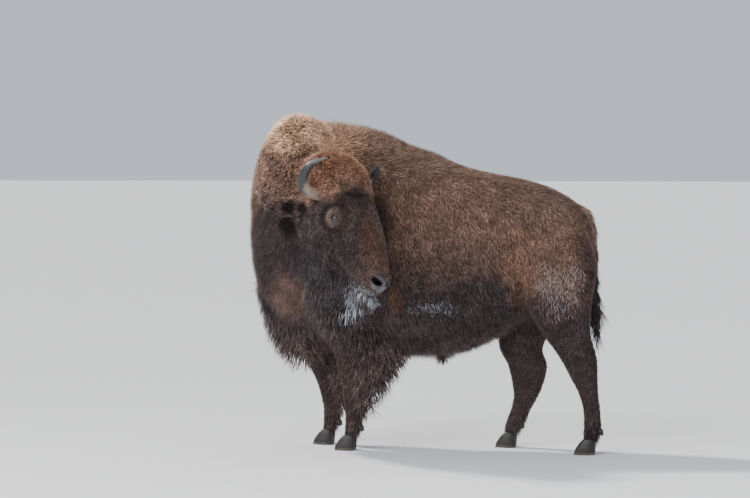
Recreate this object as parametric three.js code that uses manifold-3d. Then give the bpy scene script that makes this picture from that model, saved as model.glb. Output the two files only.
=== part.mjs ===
// Bison, standing still with its head turned back to its left.
// Millimetres, +Z up. The animal faces -X and its left side is -Y.
// Every piece is a faceted solid out to the tips of the coat.
import * as THREE from 'three';
import { LoftGeometry } from 'three/addons/geometries/LoftGeometry.js';
import { mergeVertices } from 'three/addons/utils/BufferGeometryUtils.js';
import Module from 'manifold-3d';

// ---------------------------------------------------------------- named sizes
// A place is given as [forward, left, up] from the middle of the trunk.
const GAP = 0.45;              // clearance left round a piece that sits in another
const HUMP_TOP = 1600;         // height of the hump
const CREST_TOP = 1622;        // height of the woolly neck crest
const BELLY = 467;             // height of the belly line, coat included
const RUMP_END = -684;         // end of the trunk, between the buttocks
const CHEST_END = 770;
const SHOULDER_HALF = 322;     // half width at the shoulders
const HIP_HALF = 226;          // half width at the hips
const NECK_PIVOT = [500, 228]; // forward, left: the upright line that the neck bends round
const HEAD_AT = [448, 485, 1254];            // point between the horn bases
const HEAD_NOSE = [-0.401, 0.315, -0.860];   // direction from the crown to the nose
const HEAD_LEFT = [-0.512, -0.856, -0.075];  // direction to the animal's left ear
const HEAD_LENGTH = 545;                     // from the horn line to the tip of the nose
const EAR_ROOT = [58, 92, -95];              // same axes as the eye
const EAR_TIP = { right: [-38, 247, -249], left: [-76, 216, 6] };
const EYE_RADIUS = 21;
const EYE_AT = [166, 132, 8];                // along the nose, to the side, out of the face
const HORN_BASE = 30;                        // radius of a horn at its base
const HORN_RINGS = 10;
const TAIL_ROOT = 1166;                      // height of the root of the tail
const FORE_FEET = { left: [456, 132], right: [612, -130] };
const HIND_FEET = { left: [-698, 142], right: [-286, -140] };

// How many points each ring has.
const POINTS = {
  trunk: 20, neck: 17, head: 16, jaw: 10, eye: 8, horn: 8, crown: 13, beard: 11, bell: 13, chaps: 11,
  tail: 8, tuft: 8, belly: 9, foreleg: 10, hindleg: 11, claw: 10, dewclaw: 5, ear: 9, hollow: 6,
};

// ---------------------------------------------------------------- small tools
const wasm = await Module();
wasm.setup();
const V = (x, y, z) => new THREE.Vector3(x, y, z);
const at = (f, l, z) => V(-f, -l, z);                 // forward, left, up -> x, y, z
const power = (x, e) => Math.sign(x) * Math.abs(x) ** e;

// Smooth curve through [t, value] pairs, without overshoot.
function through(pairs) {
  const t = pairs.map((p) => p[0]), y = pairs.map((p) => p[1]), n = t.length;
  const d = t.slice(1).map((x, i) => (y[i + 1] - y[i]) / (x - t[i]));
  const m = y.map((_, i) => (i === 0 ? d[0] : i === n - 1 ? d[n - 2]
    : d[i - 1] * d[i] <= 0 ? 0 : (2 * d[i - 1] * d[i]) / (d[i - 1] + d[i])));
  return (x) => {
    if (x <= t[0]) return y[0];
    if (x >= t[n - 1]) return y[n - 1];
    let i = 0;
    while (x > t[i + 1]) i++;
    const h = t[i + 1] - t[i], s = (x - t[i]) / h, r = 1 - s;
    return r * r * (1 + 2 * s) * y[i] + s * r * r * h * m[i] + s * s * (3 - 2 * s) * y[i + 1]
      - s * s * r * h * m[i + 1];
  };
}

// One closed ring: half widths along u (right, left) and v (up, down), with squareness for each half.
function ring(c, u, v, size, count) {
  const { w, wl = w, up, down = up, nu = 2, nd = nu } = size;
  return Array.from({ length: count }, (_, i) => {
    const a = (2 * Math.PI * i) / count, n = Math.sin(a) >= -1e-9 ? nu : nd;
    const x = power(Math.cos(a), 2 / n) * (Math.cos(a) > 0 ? w : wl);
    const y = power(Math.sin(a), 2 / n) * (Math.sin(a) > 0 ? up : down);
    return c.clone().addScaledVector(u, x).addScaledVector(v, y);
  });
}

function toManifold(geometry) {
  const g = new THREE.BufferGeometry().setAttribute('position',
    geometry.attributes.position).setIndex(geometry.index);
  const m = mergeVertices(g, 1e-3), tris = [];
  for (let i = 0; i < m.index.count; i += 3) {
    const [a, b, c] = [0, 1, 2].map((k) => m.index.getX(i + k));
    if (a !== b && b !== c && a !== c) tris.push(a, b, c);
  }
  return new wasm.Manifold(new wasm.Mesh({ numProp: 3,
    vertProperties: Float32Array.from(m.attributes.position.array), triVerts: Uint32Array.from(tris) }));
}

function toGeometry(solid) {
  const mesh = solid.getMesh(), g = new THREE.BufferGeometry(), k = mesh.numProp;
  const xyz = new Float32Array((mesh.vertProperties.length / k) * 3);
  for (let i = 0; i < xyz.length / 3; i++) for (let j = 0; j < 3; j++) xyz[3 * i
    + j] = mesh.vertProperties[k * i + j];
  g.setAttribute('position', new THREE.BufferAttribute(xyz, 3));
  g.setIndex(Array.from(mesh.triVerts));
  return g;
}

// Rings turn counterclockwise seen from the loft's end, whichever way they were made.
function loft(rings) {
  const mean = (r) => r.reduce((sum, p) => sum.add(p), V(0, 0, 0)).divideScalar(r.length);
  const c = mean(rings[0]), turn = V(0, 0, 0);
  rings[0].forEach((p, i) => turn.add(p.clone().sub(c).cross(rings[0][(i
    + 1) % rings[0].length].clone().sub(c))));
  const ordered = turn.dot(mean(rings[1]).sub(c)) > 0 ? rings : rings.map((r) => [...r].reverse());
  return toManifold(new LoftGeometry(ordered, { closed: true, capStart: true, capEnd: true }));
}

// The same solid with its surface moved out by the clearance.
function grown(solid, by = GAP) {
  const g = mergeVertices(toGeometry(solid), 1e-4);
  g.computeVertexNormals();
  const p = g.attributes.position, n = g.attributes.normal;
  for (let i = 0; i < p.count; i++) p.setXYZ(i, p.getX(i) + by * n.getX(i), p.getY(i) + by * n.getY(i),
    p.getZ(i) + by * n.getZ(i));
  return toManifold(g);
}

// What is left of a solid once its neighbours have taken their room.
function beside(solid, ...neighbours) {
  let out = solid;
  for (const n of neighbours) out = out.subtract(grown(n));
  return out.decompose().reduce((a, b) => (b.volume() > a.volume() ? b : a));
}

// Leg or tail from level rings: [up, forward, half width, half depth before, half depth behind].
function column(stations, left, rings, count, square = 2.15) {
  const t = stations.map((_, i) => i / (stations.length - 1));
  const [up, forward, half, before, behind] = [0, 1, 2, 3, 4].map((k) => through(stations.map((row,
    i) => [t[i], row[k]])));
  return loft(Array.from({ length: rings }, (_, i) => {
    const u = i / (rings - 1);
    return ring(at(forward(u), left(up(u)), up(u)), V(0, 1, 0), V(1, 0, 0),
      { w: half(u), up: behind(u), down: before(u), nu: square }, count);
  }));
}

// ---------------------------------------------------------------- trunk with the hump
const trunkTop = through([[RUMP_END, 985], [-668, 1075], [-640, 1160], [-560, 1232], [-420, 1293],
  [-234, 1331], [-60, 1368], [60, 1434],
  [180, 1468], [300, 1538], [430, 1577], [600, HUMP_TOP], [675, 1590], [735, 1450], [CHEST_END, 1280]]);
const trunkLow = through([[RUMP_END, 860], [-668, 780], [-640, 710], [-560, 652], [-330, 630],
  [-210, 565], [-113, 520], [-30, 490],
  [70, BELLY], [380, 474], [560, 482], [660, 505], [735, 600], [CHEST_END, 760]]);
const trunkHalf = through([[RUMP_END, 50], [-668, 105], [-640, 150], [-560, 205], [-430, HIP_HALF],
  [-250, 246], [-60, 284],
  [120, 308], [300, SHOULDER_HALF], [470, 306], [620, 258], [720, 180], [CHEST_END, 95]]);
const TRUNK_STATIONS = [RUMP_END, -670, -640, -580, -480, -360, -240, -130, -30, 80, 200, 330, 460, 580,
  670, 735, CHEST_END];
function trunkRing(f) {
  const top = trunkTop(f), low = trunkLow(f), hump = THREE.MathUtils.smoothstep(f, -150, 420);
  const mid = low + (top - low) * THREE.MathUtils.lerp(0.54, 0.42, hump);
  return ring(at(f, 0, mid), V(0, 1, 0), V(0, 0, 1),
    { w: trunkHalf(f), up: top - mid, down: mid - low, nu: THREE.MathUtils.lerp(2.15, 1.7, hump),
      nd: 2.35 }, POINTS.trunk);
}
const trunkSolid = loft(TRUNK_STATIONS.map(trunkRing));

// ---------------------------------------------------------------- neck, bending round to the left
// Each ring is upright, turned by an angle about the pivot.
const neckReach = through([[0, 230], [105, 230], [150, 172]]);
const neckTop = through([[-25, 1380], [0, 1480], [30, 1560], [55, 1616], [78, CREST_TOP], [104, 1594],
  [126, 1520], [150, 1420], [165, 1340]]);
const neckLow = through([[-25, 940], [5, 860], [40, 680], [78, 616], [104, 690], [126, 800], [150, 900],
  [165, 980]]);
const neckOut = through([[-25, 130], [0, 165], [45, 194], [105, 200], [135, 188], [165, 120]]);
const neckIn = through([[-25, 130], [0, 170], [60, 200], [110, 190], [165, 110]]);
function neckRing(deg) {
  const a = THREE.MathUtils.degToRad(Math.max(0, Math.min(deg, 150))),
    straight = deg < 0 ? deg * 6 : Math.max(0, deg - 150) * 4;
  const f = NECK_PIVOT[0] + neckReach(deg) * Math.sin(a) + straight * Math.cos(a);
  const l = NECK_PIVOT[1] - neckReach(deg) * Math.cos(a) + straight * Math.sin(a);
  const top = neckTop(deg), low = neckLow(deg), mid = low + (top - low) * 0.5;
  return ring(at(f, l, mid), at(Math.sin(a), -Math.cos(a), 0), V(0, 0, 1),
    { w: neckOut(deg), wl: neckIn(deg), up: top - mid, down: mid - low, nu: 2.05, nd: 2.5 }, POINTS.neck);
}
const neckSolid = loft([-25, 5, 35, 60, 82, 104, 124, 144, 165].map(neckRing));

// ---------------------------------------------------------------- head
const nose = at(...HEAD_NOSE).normalize();
const brow = nose.clone().cross(at(...HEAD_LEFT)).normalize();   // out of the forehead
const earward = brow.clone().cross(nose).normalize();            // to the animal's left
const headAt = (s, m, h) => at(...HEAD_AT).addScaledVector(nose, s).addScaledVector(earward,
  m).addScaledVector(brow, h);
const faceTop = through([[-125, 0], [-108, 45], [-60, 82], [0, 100], [100, 110], [190, 110], [300, 100],
  [390, 84], [460, 68], [515, 50], [HEAD_LENGTH, 18]]);
const faceLow = through([[-125, -60], [-108, -110], [-60, -165], [0, -200], [90, -228], [180, -218],
  [260, -180], [330, -140], [400, -108], [460, -84], [510, -62], [HEAD_LENGTH, -34]]);
const faceHalf = through([[-125, 50], [-108, 90], [-60, 132], [0, 150], [80, 150], [165, 153],
  [230, 137], [310, 119], [390, 98], [440, 87], [490, 82], [525, 64], [HEAD_LENGTH, 34]]);
function headRing(s) {
  const mid = (faceTop(s) + faceLow(s)) / 2, h = (faceTop(s) - faceLow(s)) / 2;
  const cheek = 1 - THREE.MathUtils.smoothstep(s, 180, 380);
  return ring(headAt(s, 0, mid), earward, brow, { w: faceHalf(s), up: h, nu: 2.5,
    nd: 2.1 + 1.3 * cheek }, POINTS.head);
}
const headSolid = loft([-125, -105, -50, 20, 95, 170, 250, 335, 410, 465, 510, 534,
  HEAD_LENGTH].map(headRing));

// Lower jaw from the angle to the chin: [along the nose, half width, half depth, out of the face].
const jawSolid = loft([[190, 74, 38, -168], [290, 68, 40, -150], [380, 60, 34, -122],
  [445, 56, 31, -100], [492, 50, 28, -86], [524, 38, 19, -76], [536, 18, 8, -72]]
  .map(([s, w, h, mid]) => ring(headAt(s, 0, mid), earward, brow, { w, up: h, nu: 2.3 }, POINTS.jaw)));

// ---------------------------------------------------------------- eyes, horns and ears, one function
// for both sides
const SIDES = { left: 1, right: -1 };
function eye(side) {
  const c = headAt(EYE_AT[0], side * EYE_AT[1], EYE_AT[2]);
  return loft([8, 40, 74, 106, 140, 172].map((deg) => {
    const a = THREE.MathUtils.degToRad(deg), r = EYE_RADIUS * Math.sin(a);
    return ring(c.clone().addScaledVector(earward, EYE_RADIUS * Math.cos(a)), nose, brow,
      { w: r, up: r }, POINTS.eye);
  }));
}
// The horn turns out, up and in.
const HORN_PATH = [[30, 93, -29], [14, 148, -37], [0, 191, -41], [-33, 216, -33], [-59, 231, -6],
  [-78, 235, 34], [-89, 219, 79], [-87, 181, 125]];
function horn(side) {
  const path = new THREE.CatmullRomCurve3(HORN_PATH.map(([s, m, h]) => headAt(s, side * m, h)), false,
    'centripetal');
  const radius = through([[0, HORN_BASE], [0.45, HORN_BASE], [0.6, HORN_BASE * 0.88],
    [0.75, HORN_BASE * 0.68], [0.9, HORN_BASE * 0.4], [1, 3]]);
  return loft(Array.from({ length: HORN_RINGS }, (_, i) => {
    const t = i / (HORN_RINGS - 1), tan = path.getTangent(t),
      u = tan.clone().cross(V(0, 0, 1)).normalize(),
      v = u.clone().cross(tan).normalize();
    return ring(path.getPoint(t), u, v, { w: radius(t), up: radius(t) }, POINTS.horn);
  }));
}
// A leaf with a hollow that opens forwards.
function ear(side, [s, m, h]) {
  const from = headAt(EAR_ROOT[0], side * EAR_ROOT[1], EAR_ROOT[2]),
    axis = headAt(s, side * m, h).sub(from);
  const u = V(0, 0, 1).cross(axis).normalize(), v = axis.clone().cross(u).normalize();
  if (u.dot(brow) < 0) u.negate();
  const thick = through([[0, 20], [0.4, 25], [0.8, 17], [1, 6]]),
    wide = through([[0, 24], [0.25, 44], [0.55, 52], [0.8, 42], [1, 12]]);
  const leaf = (ts, k, out, count) => loft(ts.map((t) => ring(from.clone().addScaledVector(axis,
    t).addScaledVector(u, out * thick(t)), u, v,
    { w: thick(t) * k, up: wide(t) * k }, count)));
  return leaf([0, 0.25, 0.5, 0.72, 0.9, 1], 1, 0, POINTS.ear).subtract(leaf([0.3, 0.5, 0.7, 0.86], 0.72,
    0.8, POINTS.hollow));
}

// ---------------------------------------------------------------- hair masses of the head and throat
const crownSolid = loft([[-206, 44, 30, -22], [-186, 88, 66, -14], [-140, 134, 100, -10],
  [-84, 156, 122, -6], [-20, 158, 128, 0], [30, 132, 106, 16], [62, 84, 62, 56]]
  .map(([s, w, h, mid]) => ring(headAt(s, 0, mid), earward, brow, { w, up: h, nu: 2.2 }, POINTS.crown)));
// Masses that hang straight down: [up, forward, left, half along the heading, half across it].
function hanging(rows, heading, count = 14) {
  const a = THREE.MathUtils.degToRad(heading), along = at(Math.cos(a), Math.sin(a), 0),
    across = at(-Math.sin(a), Math.cos(a), 0);
  return loft(rows.map(([z, f, l, half, wide]) => ring(at(f, l, z), along, across,
    { w: half, up: wide, nu: 2.1 }, count)));
}
const beardSolid = hanging([[1080, 520, 440, 50, 60], [1020, 512, 448, 96, 96],
  [950, 492, 454, 140, 116], [880, 476, 456, 172, 120], [800, 468, 458, 194, 118],
  [735, 444, 476, 212, 108], [690, 468, 458, 152, 96], [645, 474, 453, 102, 70],
  [606, 478, 450, 42, 34]], 142, POINTS.beard);
const bellSolid = hanging([[980, 770, 150, 120, 130], [880, 778, 130, 134, 145],
  [760, 778, 110, 134, 145], [630, 768, 90, 116, 128], [535, 745, 70, 94, 106], [472, 722, 55, 64, 78],
  [436, 700, 45, 26, 34]], 0, POINTS.bell);

// ---------------------------------------------------------------- legs
const foreleg = (knee, foot, left, bend) => column([[860, foot - 60, 48, 64, 74],
  [745, foot - 45, 82, 116, 120], [625, foot - 25, 80, 114, 108],
  [505, foot - 6 + bend, 66, 92 + bend, 84], [410, foot + bend * 1.5, 54, 72 + bend, 62],
    [360, foot + bend * 1.4, 51, 60 + bend * 0.4, 56],
  [300, foot + bend, 43, 50, 48], [228, foot + bend * 0.3, 38, 46, 45], [150, foot - 6, 43, 45, 46],
    [100, foot + 2, 41, 42, 43], [56, foot + 14, 40, 40, 38]], () => left, 13, POINTS.foreleg);
const hindleg = (rows, foot, left) => column([...rows, [100, foot + 4, 41, 43, 44],
  [56, foot + 16, 40, 40, 38]],
  (z) => left - Math.sign(left) * 0.16 * Math.max(0, z - 860), 15, POINTS.hindleg);
const legSolids = {
  fore_left: foreleg(362, FORE_FEET.left[0], FORE_FEET.left[1], 6),
  fore_right: foreleg(362, FORE_FEET.right[0], FORE_FEET.right[1], 24),
  hind_left: hindleg([[1095, -545, 50, 76, 80], [1020, -540, 100, 142, 142], [930, -532, 122, 172, 188],
    [820, -532, 126, 174, 190],
    [700, -538, 112, 156, 152], [600, -562, 88, 130, 128], [520, -598, 69, 106, 102],
      [455, -635, 58, 95, 93], [390, -648, 53, 77, 76],
    [318, -672, 45, 58, 57], [237, -690, 39, 43, 44], [150, -700, 43, 45, 46]], HIND_FEET.left[0],
      HIND_FEET.left[1]),
  hind_right: hindleg([[1095, -500, 50, 76, 80], [1020, -482, 100, 142, 146], [930, -462, 122, 172, 186],
    [810, -432, 126, 172, 186],
    [690, -392, 112, 164, 150], [570, -345, 90, 140, 122], [473, -317, 68, 106, 106],
      [395, -358, 58, 103, 103], [304, -356, 47, 81, 81],
    [231, -342, 40, 62, 62], [165, -310, 42, 51, 50]], HIND_FEET.right[0], HIND_FEET.right[1]),
};
function claw([f, l], side) {
  return loft([[0, 22, 21, 66, 36], [26, 22, 22, 61, 36], [58, 18, 18, 42, 32],
    [77, 11, 11, 24, 20]].map(([z, w, wl, toe, heel]) =>
    ring(at(f + 26 - z * 0.12, l + side * 26, z), V(0, 1, 0), V(-1, 0, 0),
      { w, wl, up: toe, down: heel, nu: 1.9, nd: 2.4 }, POINTS.claw)));
}
function dewclaw([f, l], side) {
  return loft([[-4, 9], [8, 15], [26, 12], [36, 4]].map(([t, r]) =>
    ring(at(f - 36 - t * 0.3, l + side * 20, 122 - t), V(0, 1, 0), V(1, 0, 0), { w: r, up: r },
      POINTS.dewclaw)));
}
const bellyTuftSolid = hanging([[520, 60, 0, 84, 40], [478, 54, 0, 66, 30], [452, 46, 0, 34, 16],
  [434, 38, 0, 8, 5]], 0, POINTS.belly);
const chaps = ([f, l], side) => hanging([[660, f - 62, l + side * 6, 116, 88],
  [590, f - 82, l + side * 6, 132, 94], [500, f - 100, l + side * 5, 134, 86],
  [425, f - 104, l + side * 4, 122, 76],
  [350, f - 92, l + side * 3, 98, 62], [280, f - 68, l + side * 2, 68, 46], [225, f - 44, l, 42, 30],
    [190, f - 28, l, 18, 14]], 0, POINTS.chaps);

// ---------------------------------------------------------------- tail
// [up, forward, radius]
const tailPath = [[1176, -550, 24], [TAIL_ROOT, -612, 27], [1132, -655, 25], [1070, -680, 22],
  [960, -690, 20], [860, -691, 17], [800, -690, 9]];
const tailSolid = loft(tailPath.map(([z, f, half], i) => {
  const [before, after] = [tailPath[Math.max(0, i - 1)], tailPath[Math.min(tailPath.length - 1, i + 1)]];
  const tan = at(after[1] - before[1], 0, after[0] - before[0]).normalize();
  return ring(at(f, 4, z), V(0, 1, 0), tan.clone().cross(V(0, 1, 0)).normalize(), { w: half, up: half },
    POINTS.tail);
}));
const tuftSolid = column([[900, -690, 15, 16, 18], [835, -692, 30, 30, 26], [760, -693, 36, 34, 30],
  [680, -696, 31, 30, 27], [610, -702, 18, 18, 18], [562, -710, 5, 5, 5]], () => 8, 7, POINTS.tuft);

// ---------------------------------------------------------------- the pieces, in order: each one leaves
// room for those before it
const whole = {};
const feet = { fore_left: FORE_FEET.left, fore_right: FORE_FEET.right, hind_left: HIND_FEET.left,
  hind_right: HIND_FEET.right };
for (const [name, foot] of Object.entries(feet)) {
  for (const [which, side] of [['a', 1], ['b', -1]]) {
    whole[`hoof_${name}_${which}`] = claw(foot, side);
    whole[`dewclaw_${name}_${which}`] = dewclaw(foot, side);
  }
}
for (const [side, sign] of Object.entries(SIDES)) {
  whole[`eye_${side}`] = eye(sign);
  whole[`horn_${side}`] = horn(sign);
  whole[`ear_${side}`] = ear(sign, EAR_TIP[side]);
}
whole.head = headSolid;
whole.lower_jaw = jawSolid;
whole.crown_hair = crownSolid;
whole.beard = beardSolid;
for (const [name, solid] of Object.entries(legSolids)) whole[`leg_${name}`] = solid;
whole.tail = tailSolid;
whole.neck = neckSolid;
whole.trunk = trunkSolid;
whole.throat_mane = bellSolid;
whole.tail_tuft = tuftSolid;
whole.belly_tuft = bellyTuftSolid;
for (const [side, sign] of Object.entries(SIDES)) whole[`chaps_${side}`] = chaps(FORE_FEET[side], sign);

const pieces = {}, done = [];
for (const [name, solid] of Object.entries(whole)) {
  pieces[name] = beside(solid, ...done.filter((other) => solid.intersect(grown(other)).volume() > 0));
  done.push(solid);
}

// ---------------------------------------------------------------- the group, standing on the floor over
// its own origin
const LOOKS = [['hoof', 0x2a2523, 0.5], ['dewclaw', 0x2a2523, 0.5], ['horn', 0x4a453e, 0.4],
  ['eye', 0x120d0a, 0.15], ['crown', 0x6a4228, 0.95], ['beard', 0x3a2a22, 0.95],
  ['throat', 0x46301f, 0.95], ['chaps', 0x3c2b22, 0.95], ['leg', 0x2f2520, 0.95],
    ['tail', 0x2b211d, 0.95], ['head', 0x43322a, 0.95], ['lower', 0x3a2a22, 0.95],
    ['ear', 0x4a372b, 0.95], ['', 0x6d5440, 0.95]];
const group = new THREE.Group();
group.name = 'bison';
for (const [name, solid] of Object.entries(pieces)) {
  const [, color, roughness] = LOOKS.find(([start]) => name.startsWith(start));
  const mesh = new THREE.Mesh(toGeometry(solid), new THREE.MeshStandardMaterial({ color, roughness,
    metalness: 0 }));
  mesh.name = name;
  group.add(mesh);
}
const box = new THREE.Box3().setFromObject(group), middle = box.getCenter(V(0, 0, 0));
for (const mesh of group.children) mesh.geometry.translate(-middle.x, -middle.y, -box.min.z);
export default group;
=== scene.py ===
# %% [markdown]
# # A life-size bison
# The animal stands still with its head turned back to its left. The solids hold its outline out to
# the tips of the coat. Here they get a skin, eyes, horns, hooves and a coat of about a quarter of a
# million small locks. Every number is in metres, and every piece is placed from the solids.

# %% Frame
import math

import bmesh
import bpy
import numpy as np
from mathutils import Matrix, Vector
from mathutils.bvhtree import BVHTree


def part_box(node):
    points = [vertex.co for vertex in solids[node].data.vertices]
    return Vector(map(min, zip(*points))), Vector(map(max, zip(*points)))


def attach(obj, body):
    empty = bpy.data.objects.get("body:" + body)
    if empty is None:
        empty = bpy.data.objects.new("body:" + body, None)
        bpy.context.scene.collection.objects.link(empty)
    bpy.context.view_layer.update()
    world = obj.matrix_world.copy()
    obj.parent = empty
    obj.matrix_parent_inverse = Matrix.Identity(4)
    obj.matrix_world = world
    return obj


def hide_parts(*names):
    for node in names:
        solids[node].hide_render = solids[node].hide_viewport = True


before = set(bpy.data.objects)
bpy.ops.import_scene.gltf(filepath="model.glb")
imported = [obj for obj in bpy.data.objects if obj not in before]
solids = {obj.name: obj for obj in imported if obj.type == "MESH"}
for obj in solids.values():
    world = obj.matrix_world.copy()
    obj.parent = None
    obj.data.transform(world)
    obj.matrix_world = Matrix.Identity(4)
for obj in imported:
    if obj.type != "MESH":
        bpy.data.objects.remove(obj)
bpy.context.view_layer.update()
print("solids:", len(solids))

# %% [markdown]
# ## Two ways to say where something is
# The trunk has one set of axes and the turned head another. A maker thinks "a hand's breadth below
# the eye", so the face is measured along the nose, out to the left ear, and out of the forehead.
# Two small functions turn such a place into the frame's own x, y and z.

# %% Axes of the trunk and of the head
HOOF_TOE = 0.548                  # the near fore hoof's toe, forward of the trunk's middle
HOOF_EDGE = 0.136                 # its inner edge, left of the trunk's middle
hoof_low, hoof_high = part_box("hoof_fore_left_a")
TRUNK_MIDDLE = Vector((hoof_low[0] + HOOF_TOE, hoof_high[1] + HOOF_EDGE, 0.0))


def at(forward, left, up):
    return TRUNK_MIDDLE + Vector((-forward, -left, up))


NOSEWARD = Vector((0.4011, -0.3151, -0.8602)).normalized()
BROW = Vector((0.7598, -0.4102, 0.5046)).normalized()
EARWARD = BROW.cross(NOSEWARD).normalized()
HEAD_MIDDLE = at(0.448, 0.485, 1.254)             # between the horn bases
HEAD_AXES = np.array([NOSEWARD, EARWARD, BROW])


def on_head(along, aside, out):
    return HEAD_MIDDLE + NOSEWARD * along + EARWARD * aside + BROW * out


def head_places(points):
    """Each point as (along the nose, to the left ear, out of the forehead)."""
    return (points - np.array(HEAD_MIDDLE)) @ HEAD_AXES.T


print("the trunk's middle is at", [round(v, 4) for v in TRUNK_MIDDLE])
print("the nose tip is at", [round(v, 3) for v in on_head(0.545, 0.0, 0.0)])

# %% [markdown]
# ## The camera
# A long lens from fourteen metres keeps the animal's proportions. It looks ten degrees round the
# near side and slightly down. The camera is made first, so that every look at a piece is the same.

# %% Camera
CAMERA_AT = at(-2.0665, 13.8515, 1.440)
CAMERA_TILT = math.radians(88.053)                # 90 degrees would look level
CAMERA_ROUND = math.radians(10.0)
LENS_MM = 139.8
SENSOR_MM = 36.0
camera_data = bpy.data.cameras.new("camera")
camera_data.lens = LENS_MM
camera_data.sensor_width = SENSOR_MM
camera = bpy.data.objects.new("camera", camera_data)
camera.location = CAMERA_AT
camera.rotation_euler = (CAMERA_TILT, 0.0, CAMERA_ROUND)
bpy.context.collection.objects.link(camera)
bpy.context.scene.camera = camera
print("the camera stands at", [round(v, 2) for v in camera.location])

# %% [markdown]
# ## The outline, as one closed surface
# The solids meet with a hair's gap. A voxel remesh of all of them together closes the gaps and makes
# one even net, which is easy to smooth. It stands for the tips of the coat, and the skin is found
# inward from it. Joining the solids with a boolean would keep their flat facets and sharp creases.

# %% One surface from many solids
VOXEL = 0.0130                     # the net's mesh width
GROW = 0.0008                      # each solid is swollen by this, so that neighbours touch
WELD = 1e-5                        # corners closer than this are one corner
BARE_PARTS = ("hoof", "dewclaw", "eye", "horn")
COAT_PARTS = [n for n in sorted(solids) if not n.startswith(BARE_PARTS)]


def object_from(bm, name):
    mesh = bpy.data.meshes.new(name)
    bm.to_mesh(mesh)
    bm.free()
    made = bpy.data.objects.new(name, mesh)
    bpy.context.collection.objects.link(made)
    return made


def merged_copy(name, grow=0.0):
    """A copy of a solid with its corners joined, moved out along its normals."""
    bm = bmesh.new()
    bm.from_mesh(solids[name].data)
    bmesh.ops.remove_doubles(bm, verts=bm.verts, dist=WELD)
    bm.normal_update()
    for corner in bm.verts:
        corner.co += corner.normal * grow
    return bm


def baked(made):
    """The object with its modifiers worked into its mesh."""
    seen = made.evaluated_get(bpy.context.evaluated_depsgraph_get())
    mesh = bpy.data.meshes.new_from_object(seen)
    made.modifiers.clear()
    made.data = mesh
    return made


together = bmesh.new()
for part in COAT_PARTS:
    copy = merged_copy(part, GROW)
    piece_mesh = bpy.data.meshes.new("part")
    copy.to_mesh(piece_mesh)
    copy.free()
    together.from_mesh(piece_mesh)
    bpy.data.meshes.remove(piece_mesh)
skin = object_from(together, "skin")
remesh = skin.modifiers.new("even net", "REMESH")
remesh.mode = "VOXEL"
remesh.voxel_size = VOXEL
baked(skin)
print("outline net:", len(skin.data.vertices), "points")

# %% [markdown]
# ## Which part a point belongs to
# The net is one surface, but the trunk, the face and an ear are worked in different ways. So each
# point takes the name of the solid that lies nearest to it. A few helpers read and write all the
# points of a mesh as one array, which is much faster than a loop over them.

# %% Which part a point belongs to
part_tree_points, part_tree_faces, part_of_face = [], [], []
for index, part in enumerate(COAT_PARTS):
    mesh = solids[part].data
    first = len(part_tree_points)
    part_tree_points += [v.co.copy() for v in mesh.vertices]
    part_tree_faces += [tuple(first + i for i in p.vertices) for p in mesh.polygons]
    part_of_face += [index] * len(mesh.polygons)
part_tree = BVHTree.FromPolygons(part_tree_points, part_tree_faces)
print("parts under the coat:", len(COAT_PARTS))


def nearest_parts(points):
    return np.array([part_of_face[part_tree.find_nearest(Vector(p))[2]] for p in points])


def points_of(mesh):
    co = np.empty(len(mesh.vertices) * 3)
    mesh.vertices.foreach_get("co", co)
    return co.reshape(-1, 3)


def normals_of(mesh):
    normals = np.empty(len(mesh.vertices) * 3, dtype=np.float32)
    mesh.vertex_normals.foreach_get("vector", normals)
    return normals.reshape(-1, 3).astype(float)


def edges_of(mesh):
    edges = np.empty(len(mesh.edges) * 2, dtype=np.int32)
    mesh.edges.foreach_get("vertices", edges)
    return edges.reshape(-1, 2)


def relaxed(values, edges, times, amount=0.5):
    """Each value drawn towards the mean of its neighbours, again and again."""
    a, b = edges[:, 0], edges[:, 1]
    count = len(values)
    near = np.bincount(a, minlength=count) + np.bincount(b, minlength=count)
    flat = values.reshape(count, -1).copy()
    amount = np.broadcast_to(np.asarray(amount, dtype=float).reshape(-1, 1), (count, 1))
    for _ in range(times):
        total = np.stack([np.bincount(a, flat[b, k], count) + np.bincount(b, flat[a, k], count)
                          for k in range(flat.shape[1])], axis=1)
        flat += amount * (total / np.maximum(near, 1)[:, None] - flat)
    return flat.reshape(values.shape)


def smoothstep(low, high, x):
    t = np.clip((x - low) / (high - low), 0.0, 1.0)
    return t * t * (3 - 2 * t)


def put_points(mesh, co):
    mesh.vertices.foreach_set("co", co.ravel())
    mesh.update()


# %% [markdown]
# ## Relaxing the facets away
# The solids have flat facets as wide as a hand on the barrel, but small ones on the legs. Relaxing
# draws each point towards the mean of its neighbours. Done evenly, it would shrink ears and legs, so
# each part has its own amount, blurred so that no seam shows where two parts meet.

# %% Relax the net
RELAX_ROUNDS = 34
BLUR_ROUNDS = 6
SMOOTH = {"trunk": 0.6, "neck": 0.6, "head": 0.16, "lower_jaw": 0.2, "crown_hair": 0.4, "beard": 0.5,
          "throat_mane": 0.5, "leg": 0.22, "chaps": 0.4, "tail": 0.15, "ear": 0.03, "belly_tuft": 0.3}


def by_part(table, parts):
    """The table's value for each point, found by the start of its part's name."""
    values = []
    for name in COAT_PARTS:
        key = name if name in table else name.split("_")[0]
        values.append(table[key])
    return np.array(values)[parts]


co = points_of(skin.data)
edges = edges_of(skin.data)
amount = relaxed(by_part(SMOOTH, nearest_parts(co)), edges, BLUR_ROUNDS)
facets = co
co = relaxed(co, edges, RELAX_ROUNDS, amount)
put_points(skin.data, co)
print("furthest a point moved:", round(float(np.linalg.norm(co - facets, axis=1).max()), 4))

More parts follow.
